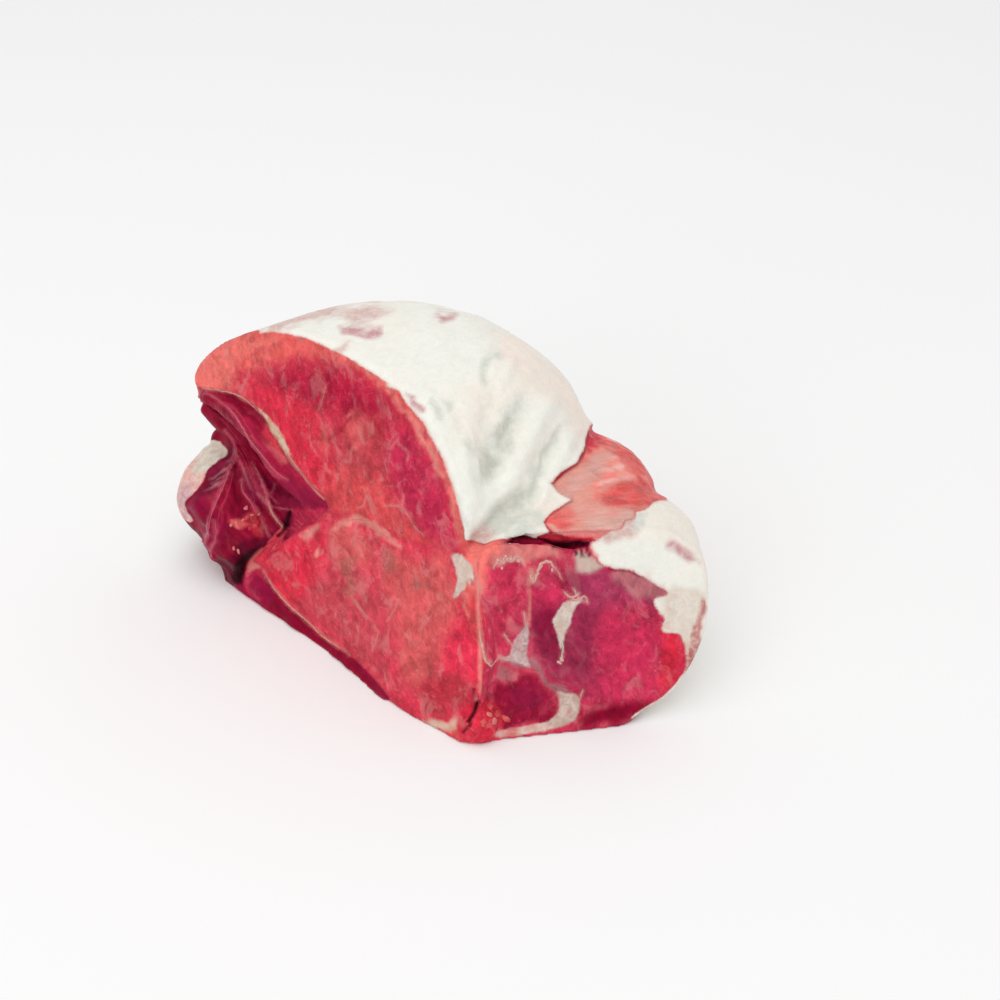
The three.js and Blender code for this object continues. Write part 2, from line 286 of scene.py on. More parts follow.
# How far the picture's lines stray across and down, in pixels, and a crisp line's share of that.
STRAY = (((4.5, 10, 3), (3.0, 4, 4)), ((4.5, 10, 5), (3.0, 4, 6)))
CRISP_SHARE = 0.15
# The random table behind the noise, and the whole numbers that scatter its cells over the table.
NOISE_VALUES = 4096
CELL_STEPS = (374761, 668265, 1274127)
CELL_FACTOR = 2654435

# Ridges, lumps and grooves too low for the solid: height in mm, half-width in pixels, and the line.
RIDGES = (
    (1.3, 5, ((203, 392), (222, 405), (240, 430), (262, 462), (282, 480))),
    (2.4, 6, ((202, 396), (208, 404), (216, 414))),
    (-1.6, 6, ((222, 420), (232, 432), (252, 462), (272, 486))),
    (2.2, 6, ((238, 448), (230, 478), (216, 505), (208, 542))),
    (2.0, 5, ((243, 460), (247, 488), (258, 512))),
    (2.0, 5, ((255, 463), (266, 492), (271, 507), (285, 528))),
    (-2.0, 6, ((236, 474), (238, 500), (232, 528))),
    (-2.2, 7, ((226, 455), (214, 472), (206, 486))),
    (-1.8, 5, ((262, 500), (262, 520), (270, 536))),
    (-2.0, 6, ((222, 512), (220, 532), (226, 548))),
    (2.4, 11, ((198, 504), (202, 509))),
    (2.0, 8, ((250, 520), (257, 527))),
    (2.2, 10, ((226, 556), (236, 562))),
    (2.0, 9, ((210, 548), (214, 556))),
    (-1.6, 7, ((292, 529), (308, 521), (345, 516), (380, 532), (420, 547), (470, 556))),
    (1.0, 16, ((330, 550), (390, 572))),
    (-0.8, 6, ((400, 548), (394, 590), (384, 620), (378, 650), (386, 690))),
    (-0.8, 6, ((300, 440), (330, 462), (350, 500))),
    (0.8, 18, ((350, 420), (370, 470))),
    (-1.2, 6, ((484, 694), (505, 674), (540, 676), (560, 702), (552, 722))),
    (1.3, 13, ((505, 702), (535, 700))),
    (-0.9, 5, ((530, 590), (534, 640), (545, 672))),
    (0.9, 14, ((500, 590), (505, 620))),
    (-1.5, 8, ((486, 384), (485, 366), (495, 345))),
    (1.2, 10, ((503, 384), (512, 362))),
    (-2.6, 17, ((524, 398), (508, 430), (490, 468))),
    (-1.6, 7, ((508, 418), (502, 448))),
    (-1.4, 6, ((484, 450), (493, 470))),
    (2.2, 14, ((550, 402), (530, 440), (514, 480))),
    (-3.0, 16, ((532, 494), (508, 512), (482, 537))),
    (1.6, 10, ((548, 486), (536, 512), (515, 530))),
    (-1.6, 8, ((562, 430), (546, 456), (535, 498))),
    (1.6, 11, ((576, 432), (556, 464))),
    (1.4, 13, ((464, 455), (474, 500))),
    (-1.0, 9, ((430, 385), (452, 400), (462, 425))),
    (-1.0, 10, ((640, 528), (665, 520), (684, 530))),
    (1.0, 10, ((600, 452), (650, 484))),
    (-1.0, 7, ((596, 470), (640, 505))),
)

# Membranes and threads: colour, half-width in mm, and the line in pixels.
STRANDS = (
    ("peach", 0.9, ((202, 388), (215, 390), (235, 394), (248, 402), (262, 415))),
    ("peach", 0.6, ((286, 452), (298, 469), (312, 487), (324, 499))),
    ("fibre", 0.5, ((358, 508), (364, 505), (367, 496), (371, 507))),
    ("fibre", 0.4, ((404, 495), (402, 505), (408, 515), (416, 528), (424, 535))),
    ("fibre", 0.5, ((385, 506), (398, 506), (404, 512))),
    ("fibre", 0.6, ((345, 521), (362, 520), (378, 532), (392, 541), (398, 546))),
    ("fibre", 0.4, ((398, 600), (394, 610), (388, 620))),
    ("fibre", 0.4, ((374, 625), (378, 632), (376, 642), (372, 650))),
    ("fibre", 0.35, ((383, 670), (386, 680), (388, 690))),
    ("fibre", 0.3, ((355, 600), (360, 608), (368, 618))),
    ("peach", 0.6, ((263, 570), (275, 590), (292, 608), (308, 622), (322, 636), (340, 648),
                    (350, 655))),
    ("fibre", 0.4, ((463, 605), (467, 612), (470, 618))),
    ("veil", 0.3, ((250, 365), (247, 378), (240, 392))),
    ("veil", 0.3, ((325, 388), (323, 398), (319, 410))),
    ("flush", 1.0, ((479, 629), (481, 640), (483, 650), (486, 660), (491, 666), (496, 661),
                    (500, 656))),
    ("shell", 0.35, ((524, 612), (525, 620), (528, 630))),
    ("flush", 1.0, ((493, 569), (497, 563), (500, 560), (504, 563), (508, 558), (513, 560), (517, 556),
                    (522, 560), (525, 566))),
    ("flush", 0.9, ((500, 566), (505, 558), (511, 562), (515, 557))),
    ("flush", 1.5, ((531, 574), (533, 582), (536, 577), (538, 571), (541, 565), (546, 561), (551, 563),
                    (555, 568))),
    ("fibre", 0.9, ((555, 568), (559, 573), (562, 580))),
    ("pearl", 0.8, ((562, 640), (563, 648), (562, 656), (560, 663))),
    ("flush", 1.0, ((564, 591), (568, 596), (573, 597), (579, 593))),
    ("flush", 1.0, ((572, 600), (579, 599), (585, 596), (588, 603))),
    ("flush", 0.8, ((574, 589), (577, 595), (583, 601))),
    ("shell", 0.5, ((504, 634), (508, 640), (513, 646))),
    ("shell", 0.7, ((512, 656), (505, 660), (499, 656))),
    ("shell", 0.4, ((583, 690), (580, 698))),
    ("thread", 0.8, ((206, 393), (216, 398), (226, 406), (236, 417), (244, 430), (250, 440),
                     (258, 450), (266, 460), (276, 472), (288, 480))),
    ("magenta", 0.6, ((222, 402), (236, 410), (246, 424), (256, 440), (266, 452))),
    ("magenta", 0.6, ((214, 410), (226, 424), (238, 440), (246, 456), (254, 474))),
    ("magenta", 0.7, ((232, 440), (244, 458), (252, 478), (262, 500))),
    ("magenta", 0.6, ((234, 470), (228, 492), (220, 512), (216, 534))),
    ("magenta", 0.6, ((230, 466), (220, 486), (212, 508))),
    ("plum", 0.6, ((246, 470), (252, 490), (256, 508))),
    ("haze", 0.4, ((230, 474), (220, 478), (210, 484))),
    ("haze", 0.4, ((228, 480), (218, 485), (208, 488))),
    ("thread", 0.5, ((236, 460), (230, 470), (226, 480), (222, 490), (216, 503), (210, 520),
                     (208, 541))),
    ("thread", 0.5, ((240, 462), (246, 474), (250, 489))),
    ("thread", 0.5, ((241, 480), (243, 492), (250, 501), (256, 513))),
    ("thread", 0.5, ((252, 463), (258, 472), (262, 482), (266, 494), (268, 504))),
    ("peach", 0.5, ((268, 503), (272, 513), (278, 522), (284, 528))),
    ("thread", 0.35, ((275, 484), (272, 492), (266, 500))),
    ("thread", 0.35, ((262, 486), (270, 496), (277, 502))),
    ("thread", 0.45, ((258, 494), (268, 505), (280, 508), (293, 510))),
    ("thread", 0.4, ((258, 508), (262, 520), (268, 536))),
    ("thread", 0.4, ((215, 520), (216, 535), (212, 549))),
    ("thread", 0.35, ((225, 430), (235, 445), (238, 458))),
    ("shell", 0.35, ((606, 470), (600, 476), (592, 481), (580, 487))),
    ("shell", 0.3, ((622, 478), (606, 488), (588, 494))),
    ("shell", 0.3, ((612, 462), (600, 467), (588, 474))),
    ("veil", 0.3, ((640, 488), (620, 497), (600, 503))),
)
# A strand's points lie this many pixels apart, and a longer gap than this in metres parts it.
STRAND_STEP = 2.0
STRAND_BREAK = 0.006
# Its cross-section: sides, width against the one given, height against that, and how high it lies.
STRAND_SIDES = 6
STRAND_FINENESS = 0.62
STRAND_FLATNESS = 0.28
STRAND_LIFT = 0.25
# How its width varies, and how far it wanders to each side, in half-widths.
STRAND_WIDTHS = (0.7, 1.3)
STRAND_WANDER = 0.35
# Its colour spreads this many pixels into the meat beside it.
HALO_PIXELS = 2.6
STRAND_SEED = 7

# Torn scraps: colour, radius in mm, and where each lies.
SCRAPS = (
    ("coral", 2.2, (490, 706), (498, 714), (484, 722), (506, 719)),
    ("rim", 1.7, (489, 714), (494, 721)),
    ("coral", 1.5, (247, 518), (255, 526)),
    ("crimson", 1.5, (258, 523), (250, 529)),
    ("fibre", 1.0, (243, 520), (259, 514), (252, 515)),
    ("veil", 1.3, (231, 525), (236, 523), (238, 551), (234, 548), (246, 508)),
    ("flush", 1.1, (498, 560), (511, 559), (533, 579), (562, 659), (559, 662)),
    ("flush", 0.9, (502, 568), (506, 556), (519, 561), (541, 566), (573, 598), (552, 570)),
    ("coral", 1.0, (655, 670), (648, 676), (660, 662)),
    ("magenta", 1.6, (206, 549), (212, 556), (203, 541)),
)
# How long and how flat a scrap is, and how high and how close its lumps are.
SCRAP_STRETCHES = (0.8, 1.35)
SCRAP_FLATNESS = 0.36
SCRAP_LUMPS = 0.22
SCRAP_RIPPLE = 3.1
# A distance from the fat's edge, in metres, that leaves a scrap all lean.
ALL_LEAN = 0.01
SCRAP_SEED = 11

# The meat's colours, as seen in even light. A few stand in for light and shade: the near-black of pits
# and cracks and the greys of the fat's valleys are painted shade, and the brightest salmon is partly
# painted light.
COLOURS = {
    "salmon": (230, 110, 102), "coral": (210, 72, 76), "rose": (206, 54, 74), "crimson": (212, 42, 66),
    "magenta": (192, 40, 76), "plum": (172, 56, 92), "wine": (142, 22, 60), "garnet": (138, 6, 44),
    "deep": (98, 2, 36), "brick": (180, 40, 58), "dusk": (198, 66, 80), "clay": (208, 86, 88),
    "tan": (188, 94, 90), "peach": (228, 158, 144), "veil": (216, 120, 118), "smoke": (110, 24, 50),
    "shell": (220, 172, 160), "apricot": (222, 92, 88), "pit_shadow": (36, 0, 10), "chalk": (244, 243, 234),
    "cream": (245, 233, 220), "blush": (216, 180, 172), "fat_deep_shade": (204, 204, 194),
    "fat_shade": (216, 218, 208), "straw": (214, 180, 160), "mauve": (204, 150, 155),
    "pearl": (207, 184, 172), "ash": (184, 106, 114), "ruby": (160, 22, 58), "cherry": (208, 54, 86),
    "mulberry": (160, 44, 78), "petal": (250, 234, 222), "fibre": (220, 128, 124),
    "khaki": (204, 162, 130), "carmine": (176, 22, 58), "ochre": (206, 190, 174),
    "shrimp": (246, 122, 114), "rouge": (216, 58, 82), "dove": (188, 146, 148), "beet": (142, 12, 58),
    "orchid": (204, 48, 86), "cedar": (186, 62, 72), "scarlet": (224, 50, 78), "flush": (226, 168, 158),
    "thread": (206, 92, 112), "haze": (164, 92, 104), "gristle": (196, 166, 152),
    "rim": (228, 134, 126), "scab": (190, 108, 104), "pall": (168, 104, 112), "sorrel": (188, 50, 66),
    "ivory": (226, 212, 198), "lit_salmon": (246, 140, 130),
}

# Patches of colour: the colour's name, how soft the edge is in pixels, and the outline.
RUMP_PATCHES = (
    ("salmon", 9, ((190, 384), (205, 346), (235, 330), (262, 322), (290, 328), (282, 345), (256, 352),
                   (238, 368), (236, 386), (215, 392))),
    ("apricot", 8, ((240, 362), (262, 348), (300, 340), (345, 362), (330, 366), (290, 356),
                    (256, 370))),
    ("carmine", 16, ((270, 372), (330, 366), (375, 385), (395, 420), (380, 436), (350, 416),
                     (300, 405), (265, 398))),
    ("cedar", 12, ((344, 430), (372, 416), (392, 436), (388, 476), (362, 492), (340, 476))),
    ("tan", 4, ((314, 440), (322, 430), (330, 445), (328, 455), (314, 452))),
    ("clay", 9, ((350, 428), (358, 416), (366, 440), (358, 452))),
    ("cedar", 6, ((374, 440), (384, 446), (384, 470), (374, 462))),
    ("magenta", 12, ((395, 430), (420, 440), (440, 480), (458, 540), (465, 560), (430, 550),
                     (405, 520), (390, 480), (385, 450))),
    ("coral", 12, ((330, 470), (380, 480), (400, 510), (440, 550), (380, 530), (335, 512), (325, 490))),
    ("crimson", 12, ((240, 385), (300, 400), (320, 440), (330, 480), (310, 480), (285, 445),
                     (265, 410))),
    ("rim", 4, ((392, 392), (402, 404), (414, 416), (424, 428), (431, 440), (438, 452), (444, 464),
                (450, 478), (456, 492), (462, 512), (466, 540), (460, 540), (454, 512), (447, 490),
                (439, 470), (430, 450), (419, 432), (405, 413), (392, 400))),
    ("peach", 2.5, ((256, 322), (290, 328), (320, 337), (345, 349), (372, 367), (393, 386), (389, 391),
                    (368, 373), (342, 355), (318, 343), (288, 334), (258, 328))),
    ("rouge", 6, ((262, 560), (300, 530), (345, 516), (400, 543), (440, 550), (468, 562), (476, 600),
                  (480, 700), (470, 715), (440, 718), (400, 698), (350, 655), (290, 610))),
    ("dusk", 14, ((290, 590), (350, 570), (390, 600), (385, 650), (375, 680), (330, 640))),
    ("scarlet", 12, ((430, 590), (474, 586), (482, 690), (455, 684), (438, 650))),
    ("clay", 12, ((380, 560), (430, 570), (440, 640), (430, 680), (400, 680), (395, 620))),
    ("clay", 9, ((328, 534), (352, 528), (374, 544), (366, 568), (340, 566))),
    ("sorrel", 8, ((425, 680), (465, 675), (470, 705), (440, 716), (420, 705))),
    ("crimson", 10, ((270, 560), (300, 535), (330, 545), (320, 575), (290, 600), (272, 585))),
    ("clay", 10, ((426, 562), (450, 560), (456, 600), (448, 640), (430, 616))),
    ("tan", 4, ((385, 548), (398, 560), (396, 572), (382, 565))),
    ("clay", 4, ((405, 630), (420, 640), (428, 670), (412, 655))),
    ("tan", 3, ((346, 558), (354, 560), (354, 595), (346, 590))),
    ("tan", 4, ((412, 580), (428, 583), (425, 592), (415, 590))),
    ("coral", 6, ((456, 586), (474, 584), (478, 600), (478, 640), (468, 620))),
    ("rim", 3, ((333, 534), (340, 521), (352, 515), (367, 518), (384, 533), (400, 546), (398, 550),
                (378, 538), (366, 527), (354, 523), (344, 528))),
    ("fibre", 3, ((302, 534), (312, 526), (320, 526), (314, 533), (306, 538))),
    ("rim", 2.5, ((314, 555), (319, 550), (325, 554), (320, 559))),
    ("straw", 3, ((427, 720), (434, 728), (440, 730), (468, 731), (470, 717), (432, 721))),
)
SHANK_PATCHES = (
    ("mulberry", 18, ((528, 596), (566, 566), (616, 570), (656, 596), (642, 640), (622, 690),
                      (572, 690), (532, 660))),
    ("wine", 12, ((536, 612), (552, 602), (558, 624), (556, 652), (542, 644))),
    ("mulberry", 12, ((576, 620), (606, 610), (612, 650), (590, 680), (568, 660))),
    ("orchid", 9, ((512, 572), (530, 588), (556, 580), (566, 596), (548, 606), (520, 600))),
    ("plum", 12, ((575, 572), (612, 570), (650, 592), (640, 612), (600, 612))),
    ("orchid", 12, ((606, 612), (645, 606), (668, 636), (664, 676), (640, 704), (610, 708),
                    (596, 664))),
    ("crimson", 7, ((664, 634), (683, 640), (684, 665), (668, 690), (656, 680))),
    ("garnet", 8, ((584, 708), (650, 702), (640, 718), (585, 728))),
    ("pearl", 4, ((576, 554), (588, 552), (604, 564), (604, 569), (588, 574), (577, 568))),
    ("pall", 2.5, ((512, 658), (530, 658), (538, 664), (547, 673), (558, 684), (568, 691), (574, 698),
                   (563, 702), (553, 690), (543, 678), (532, 669), (516, 664))),
    ("shrimp", 7, ((466, 560), (474, 544), (508, 542), (506, 556), (490, 566), (484, 590), (472, 600))),
    ("fibre", 3, ((476, 588), (482, 588), (485, 640), (484, 696), (477, 694))),
    ("veil", 5, ((508, 543), (536, 541), (560, 548), (560, 558), (536, 560), (508, 560))),
    ("ash", 4, ((616, 572), (645, 577), (668, 595), (640, 597), (622, 588))),
    ("ash", 7, ((488, 668), (504, 665), (514, 668), (516, 676), (504, 682), (490, 688))),
    ("ruby", 4, ((486, 692), (506, 682), (536, 680), (558, 702), (556, 716), (520, 728), (498, 728),
                 (489, 712))),
    ("wine", 8, ((512, 690), (538, 688), (544, 704), (522, 710))),
    ("fibre", 3, ((550, 533), (575, 530), (612, 528), (604, 538), (575, 539), (554, 539))),
    ("fibre", 3, ((498, 556), (520, 556), (524, 562), (512, 564), (502, 568), (496, 564))),
    ("fibre", 3, ((530, 568), (536, 568), (538, 580), (533, 585), (529, 580))),
)
HOLLOW_PATCHES = (
    ("ruby", 3, ((196, 386), (240, 394), (262, 416), (286, 455), (327, 500), (300, 488), (270, 466),
                 (245, 436), (225, 409))),
    ("rose", 4, ((262, 424), (274, 436), (290, 462), (282, 462), (262, 440))),
    ("garnet", 3, ((196, 396), (222, 406), (240, 433), (255, 453), (275, 478), (262, 474), (240, 452),
                   (225, 440), (205, 418))),
    ("wine", 4, ((272, 484), (300, 482), (330, 503), (326, 512), (290, 506), (272, 500))),
    ("magenta", 3, ((286, 512), (300, 508), (337, 514), (300, 530), (286, 536))),
    ("beet", 4, ((184, 506), (194, 498), (206, 498), (208, 510), (198, 516), (187, 516))),
    ("beet", 4, ((240, 474), (262, 478), (284, 500), (276, 508), (254, 500), (244, 490))),
    ("garnet", 4, ((200, 540), (222, 536), (240, 550), (232, 566), (210, 560))),
    ("beet", 5, ((205, 520), (222, 512), (224, 540), (214, 552), (204, 545))),
    ("smoke", 4, ((203, 480), (205, 469), (216, 461), (228, 450), (236, 448), (238, 462), (229, 480),
                  (212, 490), (200, 500), (197, 494))),
    ("deep", 3, ((228, 450), (236, 458), (232, 468), (224, 462))),
    ("brick", 2, ((240, 520), (250, 513), (258, 516), (263, 526), (258, 534), (248, 530))),
    ("clay", 2, ((229, 523), (240, 522), (246, 526), (236, 530))),
    # Painted shade at the hollow's foot and along its crack.
    ("deep", 5, ((232, 576), (226, 562), (240, 545), (258, 534), (280, 532), (288, 508), (294, 512),
                 (290, 534), (264, 556), (246, 580))),
    ("beet", 3, ((236, 568), (262, 562), (292, 606), (345, 652), (392, 700), (372, 704), (300, 644),
                 (230, 604))),
    ("garnet", 5, ((272, 596), (290, 606), (345, 654), (380, 694), (366, 690), (320, 650), (270, 612))),
)
# The dark foot of the hollow, painted shade under the lobe that hangs over it, and the lobe itself,
# with crisp edges.
CRISP_PATCHES = (
    ("deep", 3, ((214, 566), (222, 558), (236, 562), (246, 550), (262, 540), (276, 532), (288, 510),
                 (293, 512), (291, 524), (278, 538), (264, 547), (252, 558), (246, 568), (244, 582),
                 (222, 582))),
    ("pit_shadow", 2.5, ((234, 580), (236, 562), (248, 552), (262, 545), (252, 557), (246, 568), (244, 582))),
    ("magenta", 2, ((280, 538), (264, 547), (252, 558), (246, 568), (244, 582), (248, 592), (262, 600),
                    (268, 590), (264, 574), (268, 560), (284, 545))),
    ("fibre", 1.5, ((266, 547), (262, 548), (252, 558), (247, 568), (249, 572), (256, 568), (262, 566),
                    (266, 556))),
    ("beet", 3, ((254, 574), (262, 578), (274, 596), (270, 602), (256, 594), (250, 584))),
    ("wine", 1.5, ((233, 455), (219, 461), (207, 472), (205, 477), (219, 467), (234, 460))),
    ("haze", 1.2, ((229, 468), (217, 472), (206, 479), (217, 475), (228, 471))),
    ("deep", 1.5, ((236, 466), (221, 475), (207, 487), (209, 489), (222, 480), (234, 472))),
    ("haze", 1.2, ((224, 480), (212, 484), (203, 491), (213, 487), (223, 484))),
)
BARE_PATCHES = (
    ("apricot", 6, ((582, 424), (600, 430), (625, 446), (648, 468), (640, 476), (615, 454), (596, 447),
                    (584, 452))),
    ("crimson", 4, ((584, 428), (596, 432), (600, 442), (592, 448), (584, 452))),
    ("peach", 6, ((552, 488), (564, 475), (584, 463), (600, 451), (616, 449), (604, 466), (580, 482),
                  (560, 496))),
    ("peach", 6, ((546, 484), (562, 471), (580, 463), (594, 468), (592, 496), (608, 510), (606, 534),
                  (572, 533), (572, 514), (560, 507), (552, 494))),
    ("apricot", 7, ((612, 484), (640, 476), (666, 500), (640, 506), (626, 510), (604, 506))),
    ("apricot", 7, ((546, 522), (556, 512), (566, 513), (572, 525), (560, 531), (548, 528))),
    ("shell", 7, ((588, 520), (620, 511), (644, 503), (640, 530), (622, 538), (590, 536))),
    ("flush", 5, ((560, 490), (584, 468), (600, 456), (606, 462), (588, 478), (568, 498))),
    ("shell", 3, ((536, 530), (552, 527), (566, 533), (556, 535), (540, 534))),
    # Painted shade where the bare muscle drops into the slit.
    ("crimson", 3, ((508, 543), (512, 538), (545, 535), (575, 538), (592, 540), (590, 545),
                    (550, 550))),
)
# On the fat, the grey patches are painted shade in the cap's valleys, grooves and dents; the others are
# stains and warmer tones.
FAT_PATCHES = (
    ("cream", 14, ((500, 335), (530, 345), (562, 370), (588, 400), (592, 430), (575, 432), (560, 402),
                   (530, 395), (505, 368))),
    ("petal", 8, ((500, 342), (520, 340), (540, 356), (548, 372), (530, 372), (506, 362))),
    ("petal", 8, ((548, 372), (578, 392), (592, 418), (586, 440), (574, 440), (570, 415), (556, 396))),
    ("fat_shade", 6, ((483, 360), (490, 352), (496, 343), (499, 358), (490, 372), (489, 385), (482, 380))),
    ("fat_shade", 10, ((524, 396), (518, 418), (513, 440), (508, 456), (498, 472), (484, 480), (476, 462),
                  (484, 446), (494, 430), (502, 412))),
    ("fat_deep_shade", 5, ((503, 416), (511, 419), (510, 454), (500, 448), (496, 432))),
    ("fat_deep_shade", 4, ((483, 451), (491, 455), (498, 468), (490, 472))),
    ("fat_shade", 5, ((464, 440), (470, 438), (475, 450), (468, 453))),
    ("fat_deep_shade", 9, ((536, 490), (530, 506), (508, 521), (489, 535), (474, 542), (478, 530), (492, 515),
                  (508, 501), (522, 492))),
    ("blush", 4, ((474, 535), (488, 525), (494, 530), (484, 542), (473, 543))),
    ("fat_shade", 5, ((563, 428), (552, 446), (543, 464), (538, 488), (533, 502), (528, 496), (534, 470),
                 (546, 448))),
    ("fat_shade", 4, ((430, 400), (438, 404), (441, 417), (434, 415))),
    ("fat_shade", 4, ((444, 402), (452, 406), (448, 410))),
    ("fat_shade", 5, ((454, 500), (462, 505), (470, 535), (464, 530))),
    ("mauve", 4, ((342, 328), (354, 325), (380, 327), (383, 333), (365, 337), (346, 334))),
    ("mauve", 4, ((436, 313), (452, 315), (456, 320), (444, 322), (435, 317))),
    ("blush", 4, ((332, 349), (350, 344), (348, 351), (338, 352))),
    ("blush", 6, ((262, 328), (290, 311), (320, 304), (346, 304), (330, 316), (300, 322), (276, 332))),
    ("blush", 7, ((340, 312), (372, 306), (392, 312), (360, 322))),
    ("mauve", 3, ((404, 392), (410, 394), (424, 412), (420, 415))),
    ("flush", 7, ((160, 425), (240, 425), (234, 460), (208, 480), (196, 530), (160, 530))),
    ("ochre", 6, ((205, 440), (234, 440), (226, 458), (204, 470), (192, 466))),
    ("mauve", 5, ((176, 492), (186, 484), (192, 500), (186, 518), (176, 512))),
    ("apricot", 2, ((588, 546), (593, 546), (604, 561), (599, 565))),
    ("blush", 5, ((598, 516), (630, 510), (640, 516), (634, 534), (612, 540), (596, 538))),
    ("mauve", 2, ((616, 514), (628, 512), (634, 520), (624, 521))),
    ("fat_shade", 6, ((500, 520), (520, 508), (546, 512), (549, 526), (530, 534), (505, 536))),
    ("mauve", 4, ((668, 544), (677, 543), (687, 552), (696, 563), (680, 559))),
    ("fat_shade", 5, ((630, 514), (644, 512), (642, 524), (634, 528))),
    ("ivory", 6, ((660, 598), (684, 588), (700, 592), (698, 630), (690, 650), (660, 640))),
    ("straw", 4, ((684, 642), (696, 640), (704, 660), (690, 700), (650, 724), (640, 712), (672, 692),
                  (684, 668))),
    ("scab", 2, ((697, 600), (702, 601), (704, 620), (701, 640), (694, 656), (688, 668), (683, 674),
                 (686, 660), (692, 642), (696, 622))),
    ("khaki", 3, ((248, 400), (290, 410), (302, 462), (270, 470), (250, 430))),
    ("gristle", 3, ((446, 548), (480, 550), (480, 592), (450, 604))),
    ("pearl", 5, ((548, 594), (590, 594), (584, 640), (562, 652), (548, 630))),
    ("dove", 6, ((500, 616), (535, 616), (535, 672), (500, 672))),
    ("gristle", 5, ((540, 680), (586, 680), (590, 735), (540, 735))),
    ("shell", 5, ((480, 722), (545, 716), (545, 745), (480, 745))),
    ("veil", 5, ((482, 724), (516, 724), (518, 742), (482, 744))),
)
# Thin lines, most of them painted shade in the slit, the cracks and under the fat's raised edge, and a
# few pale seams: the colour's name, the half-width in pixels, and the points.
SEAM_AND_SHADE_LINES = (
    ("crimson", 2.4, ((512, 536), (530, 534), (552, 537), (575, 539), (592, 539))),
    ("pit_shadow", 2.0, ((510, 542), (513, 537), (522, 537), (536, 537), (546, 541), (555, 545))),
    ("pit_shadow", 3.2, ((555, 545), (566, 545), (576, 543), (586, 544))),
    ("rim", 1.6, ((475, 560), (478, 590), (479, 620), (480, 650), (480, 692))),
    ("deep", 1.6, ((573, 545), (577, 554))),
    ("deep", 1.6, ((580, 545), (583, 556))),
    ("deep", 1.6, ((586, 544), (589, 555))),
    ("brick", 1.8, ((588, 432), (585, 446), (578, 462), (566, 471), (549, 485))),
    ("crimson", 1.6, ((560, 507), (549, 512), (544, 524), (552, 533))),
    ("pit_shadow", 2.0, ((478, 702), (474, 712), (468, 722))),
    ("pit_shadow", 1.4, ((470, 726), (463, 732))),
    ("brick", 2.0, ((330, 440), (345, 425), (352, 418))),
    ("brick", 1.6, ((370, 415), (380, 430), (385, 440))),
    ("pit_shadow", 1.8, ((291, 511), (286, 529), (278, 536))),
    ("veil", 1.6, ((529, 584), (530, 604), (529, 626))),
    ("veil", 1.4, ((480, 628), (482, 640), (486, 660), (496, 662))),
    ("cherry", 2.8, ((489, 604), (494, 630), (495, 664), (493, 690))),
    ("garnet", 1.2, ((610, 569), (628, 571), (642, 577))),
)
CREASE_FADE = 1.6

# What the shaders mix in, as linear colours: gristle in the lean, also the colour of its painted
# glints, clean fat and warmer fat.
PALE_THREAD = (0.80, 0.42, 0.39, 1)
FAT_WHITE = (0.90, 0.90, 0.83, 1)
WARM_CLOUD = (0.86, 0.74, 0.66, 1)
# The kinds of socket on the node groups.
COLOUR, VECTOR, VALUE = "NodeSocketColor", "NodeSocketVector", "NodeSocketFloat"
# The sockets of a mixing node: its two inputs, and its output.
MIX_SOCKETS = {"RGBA": (6, 7, 2), "FLOAT": (2, 3, 0)}

# The studio, in metres: the sky's strength, the floor, and each light's place, size and watts.
SKY_STRENGTH = 0.72
FLOOR_RADIUS = 6.0
SOFT_BOXES = (
    ("overhead", (-0.25, -0.3, 2.2), (2.6, 2.6), 16.0),
    ("front_fill", (-1.3, -2.0, 1.2), (1.6, 1.4), 8.0),
)


def smooth_min(a, b, width):
    """The lesser of two distances, with a soft fillet of the given width where they meet."""
    share = np.clip(0.5 + 0.5 * (b - a) / width, 0, 1)
    return b * (1 - share) + a * share - width * share * (1 - share)


def smooth_max(a, b, width):
    """The greater of two distances, with a soft edge of the given width where they meet."""
    return -smooth_min(-a, -b, width)


def ramp(low, high, value):
    """0 below low, 1 above high, and a straight slope between."""
    return np.clip((value - low) / (high - low), 0, 1)


def smooth_step(low, high, value):
    """0 below low, 1 above high, and a soft slope between."""
    share = ramp(low, high, value)
    return share * share * (3 - 2 * share)


def hump(u, v, u0, v0, spread_u, spread_v):
    """A hump of height 1 over (u0, v0)."""
    return np.exp(-(((u - u0) / spread_u) ** 2) - ((v - v0) / spread_v) ** 2)


def lobe_distance(place, lobe):
    """Distance from a rounded block or egg: squareness 2 is an ellipsoid, more is squarer."""
    centre, radii, tilt, squareness = lobe
    angle = math.radians(tilt)
    dx, dy, dz = (p - c for p, c in zip(place, centre))
    turned = (
        dx * math.cos(angle) + dz * math.sin(angle),
        dy,
        dz * math.cos(angle) - dx * math.sin(angle),
    )
    shares = [np.abs(t / r) + 1e-6 for t, r in zip(turned, radii)]
    level = sum(s**squareness for s in shares) ** (1 / squareness)
    slope = np.sqrt(sum(((s / level) ** (squareness - 1) / r) ** 2 for s, r in zip(shares, radii)))
    return (level - 1) / slope


def rope_distance(place, rope):
    """Distance from a rope through the points, its radius running from one value to the next."""
    points, radii = rope
    nearest = None
    for start, end, first, last in zip(points, points[1:], radii, radii[1:]):
        run = [e - s for s, e in zip(start, end)]
        offset = [p - s for p, s in zip(place, start)]
        along = sum(o * r for o, r in zip(offset, run)) / sum(r * r for r in run)
        t = np.clip(along, 0, 1)
        gap = np.sqrt(sum((o - r * t) ** 2 for o, r in zip(offset, run)))
        gap = gap - (first + (last - first) * t)
        nearest = gap if nearest is None else np.minimum(nearest, gap)
    return nearest


def line_distance(place, line):
    """Distance from a thin line through the points."""
    return rope_distance(place, (line, (0,) * len(line)))


